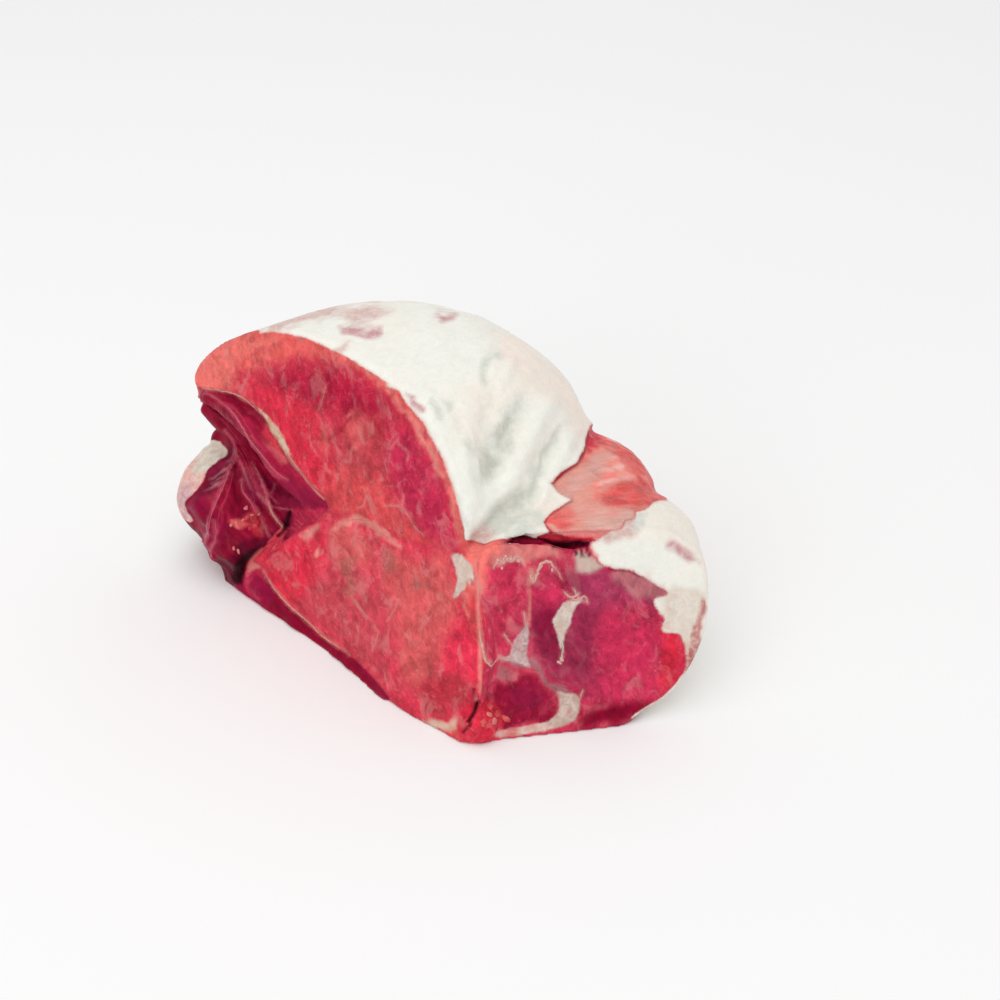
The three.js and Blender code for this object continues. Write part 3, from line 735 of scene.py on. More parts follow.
def curve_point(before, start, end, after, t):
    """The point a share of the way from start to end on a smooth curve through all four."""
    return 0.5 * (
        2 * start + (end - before) * t
        + (2 * before - 5 * start + 4 * end - after) * t**2
        + (3 * start - before - 3 * end + after) * t**3
    )


def closed_curve(points, steps=6):
    """Points along a smooth closed curve through the given ones."""
    corners = np.array(points, float)
    before, after, beyond = (np.roll(corners, n, axis=0) for n in (1, -1, -2))
    line = [curve_point(before, corners, after, beyond, n / steps) for n in range(steps)]
    return np.stack(line, axis=1).reshape(-1, 2)


class Outline:
    """Signed distance from a closed line in a plane, negative inside, looked up on a fine grid."""

    def __init__(self, points, margin=130.0, spacing=1.5, curved=True):
        line = closed_curve(points) if curved else np.array(points, float)
        self.low = line.min(0) - margin
        self.spacing = spacing
        high = line.max(0) + margin
        u, v = np.meshgrid(
            np.arange(self.low[0], high[0], spacing),
            np.arange(self.low[1], high[1], spacing),
            indexing="ij",
        )
        gap = np.full(u.shape, np.inf)
        inside = np.zeros(u.shape, bool)
        for start, end in zip(line, np.roll(line, -1, axis=0)):
            du, dv = end - start
            t = np.clip(((u - start[0]) * du + (v - start[1]) * dv) / (du * du + dv * dv), 0, 1)
            gap = np.minimum(gap, (u - start[0] - du * t) ** 2 + (v - start[1] - dv * t) ** 2)
            if dv:
                crosses = (start[1] > v) != (end[1] > v)
                inside ^= crosses & (u < start[0] + du * (v - start[1]) / dv)
        self.grid = np.where(inside, -1, 1) * np.sqrt(gap)

    def __call__(self, u, v):
        """The distance at (u, v), between the nearest grid points."""
        rows, columns = self.grid.shape
        x = np.clip((u - self.low[0]) / self.spacing, 0, rows - 1.001)
        y = np.clip((v - self.low[1]) / self.spacing, 0, columns - 1.001)
        i, j = x.astype(int), y.astype(int)
        x, y = x - i, y - j
        left = self.grid[i, j] * (1 - y) + self.grid[i, j + 1] * y
        right = self.grid[i + 1, j] * (1 - y) + self.grid[i + 1, j + 1] * y
        return left * (1 - x) + right * x


def pillow(outline, past_end, radius):
    """An outline carried back to an end plane and rounded over there, like the end of a pillow."""
    side, end = outline + radius, past_end + radius
    outer = np.hypot(np.maximum(side, 0), np.maximum(end, 0))
    return np.minimum(np.maximum(side, end), 0) + outer - radius


def past_plane(place, point, facing):
    """Distance past a plane through the point, positive on the side that it faces."""
    length = math.sqrt(sum(f * f for f in facing))
    return sum((p - q) * f for p, q, f in zip(place, point, facing)) / length


def cut_place(place):
    """Place on the rump cut seen from the front: along the board, and back from the cut."""
    x, y = place[0] - RUMP_CUT_FOOT[0], place[1] - RUMP_CUT_FOOT[1]
    return (y - x) * math.sqrt(0.5), (x + y) * math.sqrt(0.5)


def swollen(distance, along, height, swells):
    """The distance past a cut's plane, less the swells of the meat there."""
    for rise, *middle_and_spread in swells:
        distance = distance - rise * hump(along, height, *middle_and_spread)
    return distance


def rump_cut_distance(place):
    """Distance past the slanting cut at the rump end."""
    along, _ = cut_place(place)
    across = -math.sqrt(0.5) * math.cos(RUMP_CUT_LEAN)
    facing = (across, across, math.sin(RUMP_CUT_LEAN))
    return swollen(past_plane(place, RUMP_CUT_FOOT, facing), along, place[2], RUMP_CUT_SWELLS)


def shank_cut_distance(place):
    """Distance past the cut at the shank end."""
    facing = (SHANK_CUT_TURN, -math.cos(SHANK_CUT_LEAN), math.sin(SHANK_CUT_LEAN))
    return swollen(past_plane(place, SHANK_CUT_POINT, facing), place[0], place[2], SHANK_CUT_SWELLS)


def flank_distance(place):
    """Distance from the flank flap and its foot."""
    return np.minimum(lobe_distance(place, FLANK), lobe_distance(place, FLANK_FOOT))


class LegForm:
    """The leg as distances from its surfaces, worked out over arrays of places."""

    def __init__(self):
        self.rump_outline = Outline(RUMP_OUTLINE)
        self.plan_outline = Outline(PLAN_OUTLINE)
        self.hollow_outline = Outline(HOLLOW_OUTLINE)
        self.shank_outline = Outline(SHANK_OUTLINE)
        self.bare_outline = Outline(BARE_MUSCLE, margin=60, spacing=1, curved=False)
        self.hollow_bevel = Outline(HOLLOW_BEVEL, margin=20, spacing=1, curved=False)
        self.lower_edge = Outline(LOWER_EDGE, margin=20, spacing=1, curved=False)

    def rump_skin(self, place):
        """The rump before any cut: its outline carried back, within the dome."""
        x, y, z = place
        along, back = cut_place(place)
        near_tip = ramp(300, 180, along)
        past_middle = ramp(150, 210, along)
        rise = ramp(40, 120, back) * (RUMP_BACK_RISE * near_tip - RUMP_BACK_DROP * past_middle)
        shift = RUMP_BACK_SHIFT * ramp(50, 150, back)
        plan = self.plan_outline(x, y)
        top = pillow(plan, z - LEG_TOP, DOME_ROUND)
        dome = np.maximum(top, pillow(plan, -z - DOME_FOOT, DOME_FOOT_ROUND))
        outline = self.rump_outline(along + shift, z - rise)
        return smooth_max(pillow(outline, back - RUMP_DEPTH, RUMP_ROUND), dome, DOME_BLEND)

    def shank_skin(self, place):
        """The shank before any cut: its outline carried back."""
        x, y, z = place
        outline = self.shank_outline(x + SHANK_SKEW * (y - SHANK_FRONT), z)
        return pillow(outline, y - SHANK_BACK, SHANK_ROUND)

    def skin(self, place):
        """The leg before any knife cut or hollow: the fat lies in a layer just inside this."""
        legs = np.minimum(self.rump_skin(place), self.shank_skin(place))
        return np.minimum(np.minimum(legs, lobe_distance(place, MIDDLE)), flank_distance(place))

    def bare(self, place):
        """Millimetres outside the bare middle muscle, negative on it."""
        across, up = seen_at(place)
        wave = sum(h * np.sin(place[2] / length + start) for h, length, start in BARE_WAVES)
        beyond_back = place[1] - BARE_BACK + wave
        return np.maximum(self.bare_outline(across, up) * MM_PER_PIXEL, beyond_back)

    def bevel(self, place):
        """How deep the rump cut sinks below its plane, in millimetres."""
        across, down = seen_at(place)
        hollow = np.clip(-self.hollow_bevel(across, down) * MM_PER_PIXEL, 0, HOLLOW_BEVEL_DEPTH)
        slope = MM_PER_PIXEL * FOOT_SLOPE
        return hollow - np.clip(-self.lower_edge(across, down) * slope, 0, FOOT_SWELL)

    def __call__(self, place):
        """Distance from the leg as it is cut, hollowed and trimmed, negative inside."""
        cut = rump_cut_distance(place) + self.bevel(place)
        shank_cut = shank_cut_distance(place)
        leg = smooth_max(self.rump_skin(place), cut, RUMP_EDGE_BLEND)
        hollow = smooth_max(
            self.hollow_outline(cut_place(place)[0], place[2]),
            -past_plane(place, HOLLOW_WALL_POINT, HOLLOW_WALL_FACING),
            HOLLOW_BLEND,
        )
        leg = smooth_max(leg, -hollow, HOLLOW_EDGE_BLEND)
        for rope in HOLLOW_ROPES:
            leg = smooth_min(leg, rope_distance(place, rope), ROPE_BLEND)
        for fold in FAT_FOLDS:
            leg = smooth_max(leg, -rope_distance(place, fold), FOLD_BLEND)
        middle = smooth_max(
            lobe_distance(place, MIDDLE), shank_cut + MIDDLE_SETBACK, MIDDLE_EDGE_BLEND
        )
        leg = smooth_min(leg, middle, MUSCLE_BLEND)
        leg = leg + TRIM_DEPTH * smooth_step(*TRIM_SLOPE, self.bare(place))
        shank = smooth_max(self.shank_skin(place), shank_cut, SHANK_EDGE_BLEND)
        shank = smooth_max(shank, cut, SHANK_SIDE_BLEND)
        leg = smooth_min(leg, shank, SHANK_SIDE_BLEND)
        flank, foot = lobe_distance(place, FLANK), lobe_distance(place, FLANK_FOOT)
        leg = smooth_min(leg, smooth_min(flank, foot, MUSCLE_BLEND), MUSCLE_BLEND)
        for slit in (SHANK_SLIT, *CREASES):
            leg = smooth_max(leg, -rope_distance(place, slit), SLIT_BLEND)
        leg = smooth_min(leg, lobe_distance(place, NUB), SLIT_BLEND)
        return np.maximum(leg, -place[2])


def view_axes():
    """The viewpoint, and the directions ahead and up from it."""
    ahead = np.array((0, math.cos(VIEW_ELEVATION), -math.sin(VIEW_ELEVATION)))
    up = np.array((0, math.sin(VIEW_ELEVATION), math.cos(VIEW_ELEVATION)))
    return np.array(VIEW_TARGET) - ahead * VIEW_DISTANCE, ahead, up


def seen_at(place):
    """Where places fall in the picture, in pixels from its top left."""
    eye, ahead, up = view_axes()
    x, y, z = (p - e for p, e in zip(place, eye))
    depth = y * ahead[1] + z * ahead[2]
    height = y * up[1] + z * up[2]
    return FRAME_MIDDLE + FOCAL_PIXELS * x / depth, FRAME_MIDDLE - FOCAL_PIXELS * height / depth


def sight_line(across, down):
    """The direction from the viewpoint through a pixel."""
    _, ahead, up = view_axes()
    aside = np.array((across - FRAME_MIDDLE, 0, 0)) / FOCAL_PIXELS
    line = ahead + aside + up * (FRAME_MIDDLE - down) / FOCAL_PIXELS
    return line / np.linalg.norm(line)


def noise(place, size, seed=0):
    """A smooth random field from -1 to 1 that changes over about the given size."""
    table = np.random.default_rng(seed).uniform(-1, 1, NOISE_VALUES)
    cells, parts = [], []
    for p in place:
        scaled = np.asarray(p) / size
        whole = np.floor(scaled)
        part = scaled - whole
        cells.append(whole.astype(np.int64))
        parts.append(part * part * (3 - 2 * part))
    total = 0
    for corner in itertools.product((0, 1), repeat=3):
        key = sum((c + n) * step for c, n, step in zip(cells, corner, CELL_STEPS))
        key = (key ^ (key >> 9)) * CELL_FACTOR
        weight = math.prod(p if n else 1 - p for p, n in zip(parts, corner))
        total = total + table[(key ^ (key >> 15)) & (NOISE_VALUES - 1)] * weight
    return total


def layered(place, layers):
    """Layers of noise added up, each given by its height, its size and its seed."""
    return sum(height * noise(place, size, seed) for height, size, seed in layers)


def surface_net(field, low, pitch):
    """Vertices and quads over a field's zero level, one vertex in each cell that it crosses."""
    cells = tuple(n - 1 for n in field.shape)
    total = np.zeros(cells + (3,), np.float32)
    count = np.zeros(cells, np.int16)
    inside = field < 0
    for axis in range(3):
        others = [n for n in range(3) if n != axis]
        here = tuple(slice(0, -1) if n == axis else slice(None) for n in range(3))
        next_on = tuple(slice(1, None) if n == axis else slice(None) for n in range(3))
        crossed = inside[here] != inside[next_on]
        share = np.where(crossed, field[here] / np.where(crossed, field[here] - field[next_on], 1), 0)
        for first, second in itertools.product((0, 1), repeat=2):
            part = [slice(None)] * 3
            for other, offset in zip(others, (first, second)):
                part[other] = slice(offset, field.shape[other] - 1 + offset)
            hit = crossed[tuple(part)]
            count += hit
            total[..., axis] += share[tuple(part)]
            total[..., others[0]] += hit * first
            total[..., others[1]] += hit * second
    used = count > 0
    number = np.full(cells, -1)
    number[used] = np.arange(used.sum())
    vertices = low + (np.argwhere(used) + total[used] / count[used][:, None]) * pitch
    quads = []
    for axis in range(3):
        first, second = (axis + 1) % 3, (axis + 2) % 3
        here = [slice(1, -1)] * 3
        next_on = list(here)
        here[axis], next_on[axis] = slice(0, -1), slice(1, None)
        crossed = inside[tuple(here)] != inside[tuple(next_on)]
        start = np.argwhere(crossed)
        ring = []
        for a, b in ((0, 0), (1, 0), (1, 1), (0, 1)):
            cell = start.copy()
            cell[:, first] += a
            cell[:, second] += b
            ring.append(number[tuple(cell.T)])
        ring = np.stack(ring, axis=1)
        outward = inside[tuple(here)][crossed]
        ring[~outward] = ring[~outward][:, ::-1]
        quads.append(ring)
    return vertices, np.concatenate(quads)


def linear(name):
    """One of the meat's colours, as the linear values that Blender works with."""
    return np.array(Color([c / 255 for c in COLOURS[name]]).from_srgb_to_scene_linear())


def paint(tint, name, cover):
    """Lay a colour over the tints, as thickly as the cover says."""
    cover = cover[:, None]
    return tint * (1 - cover) + linear(name) * cover


def paint_patches(tint, patches, seen, where):
    """Lay patches of colour over the tints, each soft at its edge, as far as the mask allows."""
    across, down = seen
    for name, softness, outline in patches:
        edge = Outline(outline, margin=2 * softness + 4, spacing=1.0)(across, down)
        tint = paint(tint, name, where * smooth_step(softness, -softness, edge))
    return tint


def normals_of(vertices, triangles):
    """Smooth outward directions at the vertices."""
    a, b, c = (vertices[triangles[:, n]] for n in range(3))
    faces = np.cross(b - a, c - a)
    normals = np.zeros_like(vertices)
    for corner in range(3):
        for axis in range(3):
            normals[:, axis] += np.bincount(triangles[:, corner], faces[:, axis], len(vertices))
    return normals / (np.linalg.norm(normals, axis=1)[:, None] + 1e-12)


def triangles_of(quads, vertices):
    """Each quad split along its shorter diagonal."""
    a, b, c, d = quads.T
    first = np.linalg.norm(vertices[a] - vertices[c], axis=1)
    second = np.linalg.norm(vertices[b] - vertices[d], axis=1)
    short = (first < second)[:, None]
    one = np.where(short, np.stack((a, b, c), 1), np.stack((a, b, d), 1))
    two = np.where(short, np.stack((a, c, d), 1), np.stack((b, c, d), 1))
    return np.concatenate((one, two))


class LegSurface:
    """The leg's fine surface: its points, directions, tints, grain and where the fat lies."""

    def __init__(self, pitch, fat_thickness):
        form = LegForm()
        low, high = (np.array(corner) / MM + REST_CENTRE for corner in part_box(NODE))
        low, high = low - 2.5 * pitch, high + 3 * pitch
        axes = np.meshgrid(
            *(np.arange(l, h, pitch) for l, h in zip(low, high)), indexing="ij", sparse=True
        )
        field = np.maximum(form(axes) + SKIN_INSET, -axes[2])
        self.points, quads = surface_net(field, low, pitch)
        self.triangles = triangles_of(quads, self.points)
        self.form = form
        self.normals = normals_of(self.points, self.triangles)
        self.measure()
        self.raise_relief()
        self.lay_fat(fat_thickness)
        self.lay_lean_tint()
        self.lay_fat_tint()
        self.lay_grain()

    def measure(self):
        """How far the points lie from each cut, seam and skin of the form."""
        place = self.points.T
        form = self.form
        self.rump_cut = rump_cut_distance(place)
        self.shank_cut = shank_cut_distance(place)
        self.rump_skin, self.shank_skin = form.rump_skin(place), form.shank_skin(place)
        self.skin = form.skin(place)
        self.bare = form.bare(place)
        self.flank = flank_distance(place)
        eye, _, _ = view_axes()
        toward = eye - self.points
        toward /= np.linalg.norm(toward, axis=1)[:, None]
        self.facing = (self.normals * toward).sum(1)
        warp = [layered(place, layers) for layers in STRAY]
        self.seen = [p + w for p, w in zip(seen_at(place), warp)]
        self.seen_sharp = [p + w * CRISP_SHARE for p, w in zip(seen_at(place), warp)]
        self.on_rump_cut = smooth_step(*CUT_REACH, np.abs(self.rump_cut + SKIN_INSET))
        beside = np.minimum(form.hollow_bevel(*self.seen_sharp), form.lower_edge(*self.seen_sharp))
        self.on_rump_cut *= smooth_step(-1.2, 1.2, beside)
        self.on_shank_cut = smooth_step(*CUT_REACH, np.abs(self.shank_cut + SKIN_INSET))
        self.on_shank_cut *= smooth_step(0.5, 2, -self.rump_cut)
        self.on_bare = smooth_step(0.6, -1.2, self.bare) * smooth_step(*SKIN_REACH, self.skin)
        self.on_base = smooth_step(1.2, 0.4, place[2])

    def raise_relief(self):
        """Lumps, fibres and folds too fine for the solid, raised along the surface."""
        place = self.points.T
        cuts = np.maximum(self.on_rump_cut, self.on_shank_cut)
        near_skin = smooth_step(-3.5, -1, self.skin) * (1 - self.on_bare) * (1 - cuts)
        inner = (1 - near_skin) * (1 - cuts) * (1 - self.on_bare)
        self.behind = 1 - smooth_step(-0.25, 0.1, self.facing)
        self.dents = layered(fibre_place(place, BACK_FOLDS, BACK_STRETCH), BACK_DENTS)
        fat = layered(place, FAT_RELIEF)
        fat = fat + BACK_DENT_HEIGHT * self.behind * np.minimum(self.dents, 0.25)
        cut = layered(place, CUT_RELIEF)
        bare = layered(fibre_place(place, BARE_FIBRES, BARE_STRETCH), BARE_GRAIN)
        bare = bare + layered(place, BARE_RELIEF)
        torn = layered(fibre_place(place, HOLLOW_FIBRES, HOLLOW_STRETCH), TORN_GRAIN)
        torn = torn + layered(place, TORN_RELIEF)
        height = fat * near_skin + cut * cuts + bare * self.on_bare + torn * inner
        front = smooth_step(0, 0.15, self.facing)
        for rise, half_width, line in RIDGES:
            gap = line_distance(self.seen_sharp, line)
            height = height + rise * smooth_step(half_width, 0, gap) * front
        height *= 1 - self.on_base
        self.points = self.points + self.normals * height[:, None]
        self.normals = normals_of(self.points, self.triangles)

    def lay_fat(self, thickness):
        """Where the fat lies: negative on fat, positive on lean, in millimetres from its edge."""
        place = self.points.T
        ragged = layered(place, RAGGED_RELIEF)
        past_tip = TIP_EDGE - place[0]
        strip = self.rump_cut + np.clip(TIP_TAPER * past_tip, 0, TIP_STRIP)
        tip = np.minimum(past_tip, strip)
        tip = np.minimum(tip, np.minimum(place[2] - TIP_FOOT, self.flank - 4))
        self.on_tip = smooth_step(-1, 3, tip) * smooth_step(-5, -2, self.skin)
        fat = -self.skin - SKIN_INSET - thickness - ragged * 0.8
        for fold in FAT_FOLDS:
            lining = rope_distance(place, fold) - FOLD_LINING
            fat = np.minimum(fat, np.maximum(lining, self.rump_cut + 2.4))
        seen_front = FACING_SPAN * self.facing
        in_flank = Outline(FLANK_FAT, margin=40)(*self.seen_sharp) * MM_PER_PIXEL
        on_flank = np.minimum(FLANK_BAND - np.abs(self.flank), seen_front)
        on_flank = np.minimum(on_flank, place[2] - FLANK_FAT_FOOT)
        over_top = Outline(SHANK_TOP_LEAN, margin=40, curved=False)(*self.seen_sharp) * MM_PER_PIXEL
        lean = (
            tip,
            -self.bare,
            np.minimum(in_flank, on_flank),
            np.minimum(-over_top, seen_front),
            BASE_EDGE + layered(place, BASE_RELIEF) - place[2],
        )
        for zone in lean:
            fat = np.maximum(fat, zone + ragged)
        fat = np.minimum(fat, np.maximum(in_flank, 4 - 5 * on_flank))
        for outlines, cut in ((SHANK_FAT, self.shank_cut), (RUMP_FAT, self.rump_cut)):
            off_cut = np.abs(cut + SKIN_INSET) - INLAY_DEPTH
            for outline in outlines:
                inlay = Outline(outline, margin=30, spacing=1)(*self.seen_sharp) * INLAY_SLOPE
                fat = np.minimum(fat, np.maximum(inlay, off_cut))
        self.fat_edge = fat

    def front(self):
        """How far the points face the viewpoint, as a mask."""
        return smooth_step(0, 0.12, self.facing)

    def lay_lean_tint(self):
        """The colours of the lean: the hollow and the base, then the bare muscle and the two cuts, with
        painted shade in the hollow's foot, the slit and the cracks.
        """
        place = self.points.T
        front = self.front()
        lean = np.tile(linear("garnet"), (len(self.points), 1))
        strands = fibre_place(place, HOLLOW_FIBRES, HOLLOW_STRETCH)
        lean = paint(lean, "ruby", 0.6 * smooth_step(0.0, 0.7, noise(strands, 7, 31)))
        lean = paint(lean, "deep", 0.6 * smooth_step(0.1, 0.7, noise(strands, 5, 32)))
        lean = paint_patches(lean, HOLLOW_PATCHES, self.seen, front)
        lean = paint_patches(lean, CRISP_PATCHES, self.seen_sharp, front)
        lean = paint(lean, "dusk", self.on_base)
        around = smooth_step(4.5, 2, self.bare) * smooth_step(*SKIN_REACH, self.skin)
        lean = paint(lean, "salmon", 0.85 * around * smooth_step(588, 604, self.seen_sharp[0]))
        lean = paint(lean, "salmon", self.on_bare)
        # Lighter salmon patches over the bare muscle: partly its own paler tone, partly painted light
        # that brightens it.
        lean = paint(lean, "lit_salmon", self.on_bare * smooth_step(-0.5, 0.6, noise(place, 16, 33)))
        fascia = noise(fibre_place(place, BARE_FIBRES, 9), 4, 38)
        lean = paint(lean, "petal", 0.35 * self.on_bare * smooth_step(0.1, 0.55, fascia))
        lean = paint_patches(lean, BARE_PATCHES, self.seen, self.on_bare)
        lean = paint(lean, "coral", self.on_tip)
        lean = paint(lean, "salmon", self.on_tip * smooth_step(0, 0.6, noise(place, 9, 40)))
        corner = smooth_step(8, 5, np.abs(self.rump_cut)) * smooth_step(9, 6, np.abs(self.shank_cut))
        lean = paint(lean, "cherry", corner)
        lean = paint(lean, "rose", self.on_rump_cut)
        lean = paint_patches(lean, RUMP_PATCHES, self.seen, self.on_rump_cut)
        rim = smooth_step(6, 1, self.fat_edge) * smooth_step(12, 4, -self.rump_skin)
        lean = paint(lean, "apricot", 0.8 * rim * self.on_rump_cut)
        lean = paint(lean, "cherry", self.on_shank_cut)
        top = smooth_step(5, 3, np.abs(self.shank_skin)) * front
        lean = paint_patches(lean, SHANK_PATCHES, self.seen, np.maximum(self.on_shank_cut, top))
        lean = paint(lean, "crimson", smooth_step(3, 1, np.abs(lobe_distance(place, NUB))))
        for name, _, line in STRANDS:
            gap = line_distance(self.seen_sharp, line)
            lean = paint(lean, name, 0.4 * smooth_step(HALO_PIXELS, 0.4, gap) * front)
        # Thin lines over everything: painted shade in the slit, the cracks and under the fat's raised
        # edge, and a few pale seams.
        for name, half_width, line in SEAM_AND_SHADE_LINES:
            gap = line_distance(self.seen_sharp, line)
            cover = smooth_step(half_width + CREASE_FADE, half_width - CREASE_FADE, gap) * front
            lean = paint(lean, name, cover)
        self.lean_tint = lean

    def lay_fat_tint(self):
        """The colours of the fat: the cap and the shank's fat, then stains, painted shade in the dents
        and valleys, patches and inlays.
        """
        place = self.points.T
        fat = np.tile(linear("chalk"), (len(self.points), 1))
        fat = paint(fat, "cream", 0.6 * smooth_step(-0.1, 0.8, noise(place, 34, 34)))
        fat = paint(fat, "cream", 0.7 * smooth_step(6, 2, np.abs(self.shank_skin)))
        spots = smooth_step(0.25, 0.75, layered(place, BACK_SPOTS))
        # Painted shade in the dents of the hidden back.
        fat = paint(fat, "fat_shade", self.behind * 0.45 * smooth_step(-0.1, -0.8, self.dents))
        fat = paint(fat, "blush", self.behind * 0.5 * spots)
        fat = paint(fat, "shell", 0.6 * smooth_step(1.4, 0.1, np.abs(self.fat_edge)))
        fat = paint_patches(fat, FAT_PATCHES, self.seen, self.front())
        stain = smooth_step(0.0, 0.7, noise(place, 3, 39))
        inlaid = self.on_shank_cut * smooth_step(-16, -24, self.shank_skin)
        fat = paint(fat, "veil", 0.3 * inlaid * stain)
        self.fat_tint = fat

    def lay_grain(self):
        """Places squeezed along the fibres, so that a texture set out over them runs with the grain."""
        place = self.points.T
        grain = np.stack(fibre_place(place, HOLLOW_FIBRES, HOLLOW_STRETCH), 1)
        for cover, fibres, stretch in (
            (self.on_bare, BARE_FIBRES, BARE_STRETCH),
            (self.on_rump_cut, RUMP_FIBRES, RUMP_STRETCH),
            (self.on_shank_cut, SHANK_FIBRES, SHANK_STRETCH),
        ):
            laid = np.stack(fibre_place(place, fibres, stretch), 1)
            grain = grain + (laid - grain) * cover[:, None]
        self.grain = grain * MM

    def parted(self):
        """The triangles split along the fat's edge, as the lean part and the fat part."""
        edge = np.where(np.abs(self.fat_edge) < 1e-4, 1e-4, self.fat_edge)
        columns = (self.points, self.normals, self.lean_tint, self.fat_tint, self.grain)
        values = np.concatenate((*columns, self.fat_edge[:, None] * MM), axis=1)
        triangles = self.triangles
        fatty = edge[triangles] < 0
        whole = {True: [triangles[fatty.all(1)]], False: [triangles[~fatty.any(1)]]}
        mixed = fatty.any(1) & ~fatty.all(1)
        rings, sides = triangles[mixed], fatty[mixed]
        lone_fat = sides.sum(1) == 1
        lone = np.argmax(sides == lone_fat[:, None], axis=1)
        order = (lone[:, None] + np.arange(3)) % 3
        a, b, c = np.take_along_axis(rings, order, axis=1).T
        pairs = np.sort(np.concatenate((np.stack((a, b), 1), np.stack((a, c), 1))), axis=1)
        unique, places = np.unique(pairs, axis=0, return_inverse=True)
        first, second = unique.T
        share = edge[first] / (edge[first] - edge[second])
        share = np.clip(share, SPLIT_MARGIN, 1 - SPLIT_MARGIN)[:, None]
        made = values[first] * (1 - share) + values[second] * share
        places = places.reshape(-1) + len(values)
        on_ab, on_ac = places[: len(a)], places[len(a):]
        values = np.concatenate((values, made))
        for is_fat in (True, False):
            tip = lone_fat == is_fat
            whole[is_fat].append(np.stack((a, on_ab, on_ac), 1)[tip])
            whole[is_fat].append(np.stack((on_ab, b, c), 1)[~tip])
            whole[is_fat].append(np.stack((on_ab, c, on_ac), 1)[~tip])
        parts = []
        for is_fat in (False, True):
            faces = np.concatenate(whole[is_fat])
            used, faces = np.unique(faces, return_inverse=True)
            parts.append((values[used], faces.reshape(-1, 3)))
        return parts


def fibre_place(place, direction, stretch):
    """Places squeezed along a direction, so that what is laid out over them is drawn out along it."""
    length = math.sqrt(sum(d * d for d in direction))
    unit = [d / length for d in direction]
    along = sum(p * d for p, d in zip(place, unit))
    return [p - d * along * (1 - 1 / stretch) for p, d in zip(place, unit)]


def fill(tree, node, inputs):
    """Set a node's inputs from values, or join them to other nodes' outputs."""
    for socket, value in inputs.items():
        if isinstance(value, bpy.types.NodeSocket):
            tree.links.new(value, node.inputs[socket])
        else:
            node.inputs[socket].default_value = value


def add_node(tree, kind, inputs=None, **settings):
    """A node with its settings and its inputs."""
    node = tree.nodes.new(kind)
    for name, value in settings.items():
        setattr(node, name, value)
    fill(tree, node, inputs or {})
    return node


def add_math(tree, operation, *values, clamp=False):
    """One step of arithmetic on one to three values."""
    inputs = dict(enumerate(values))
    node = add_node(tree, "ShaderNodeMath", inputs, operation=operation, use_clamp=clamp)
    return node.outputs[0]


def add_mix(tree, share, first, second, kind="RGBA"):
    """The first value or colour, carried into the second by a share."""
    into, other, out = MIX_SOCKETS[kind]
    inputs = {0: share, into: first, other: second}
    return add_node(tree, "ShaderNodeMix", inputs, data_type=kind).outputs[out]


def add_shade(tree, colour, factor):
    """A colour made lighter or darker by a factor."""
    inputs = {0: colour, 1: factor}
    return add_node(tree, "ShaderNodeVectorMath", inputs, operation="MULTIPLY").outputs[0]


def add_group(tree, group, inputs):
    """A node that runs a node group."""
    return add_node(tree, "ShaderNodeGroup", inputs, node_tree=group)


def find_group(name, inputs, outputs):
    """A new node group with its sockets and end nodes, or the one of that name without them."""
    if name in bpy.data.node_groups:
        return bpy.data.node_groups[name], None, None
    tree = bpy.data.node_groups.new(name, "ShaderNodeTree")
    for socket, kind, default in inputs:
        item = tree.interface.new_socket(socket, in_out="INPUT", socket_type=kind)
        if default is not None:
            item.default_value = default
    for socket, kind in outputs:
        tree.interface.new_socket(socket, in_out="OUTPUT", socket_type=kind)
    return tree, tree.nodes.new("NodeGroupInput"), tree.nodes.new("NodeGroupOutput")


def sum_of(tree, parts):
    """Textures from 0 to 1 added up around zero, each with its own weight."""
    total = None
    for value, weight in parts:
        share = add_math(tree, "SUBTRACT", value, 0.5)
        total = add_math(tree, "MULTIPLY_ADD", share, weight, 0.0 if total is None else total)
    return total


def add_noise(tree, place, scale, detail=3.0, roughness=0.55, distortion=0.0):
    """A noise texture from 0 to 1, laid out over the place."""
    inputs = {
        "Vector": place,
        "Scale": scale,
        "Detail": detail,
        "Roughness": roughness,
        "Distortion": distortion,
    }
    return add_node(tree, "ShaderNodeTexNoise", inputs).outputs["Fac"]


def add_ramp(tree, value, low, high, start=0.0, end=1.0):
    """The value carried smoothly from start to end while it passes from low to high."""
    inputs = {0: value, 1: low, 2: high, 3: start, 4: end}
    return add_node(tree, "ShaderNodeMapRange", inputs, interpolation_type="SMOOTHSTEP").outputs[0]


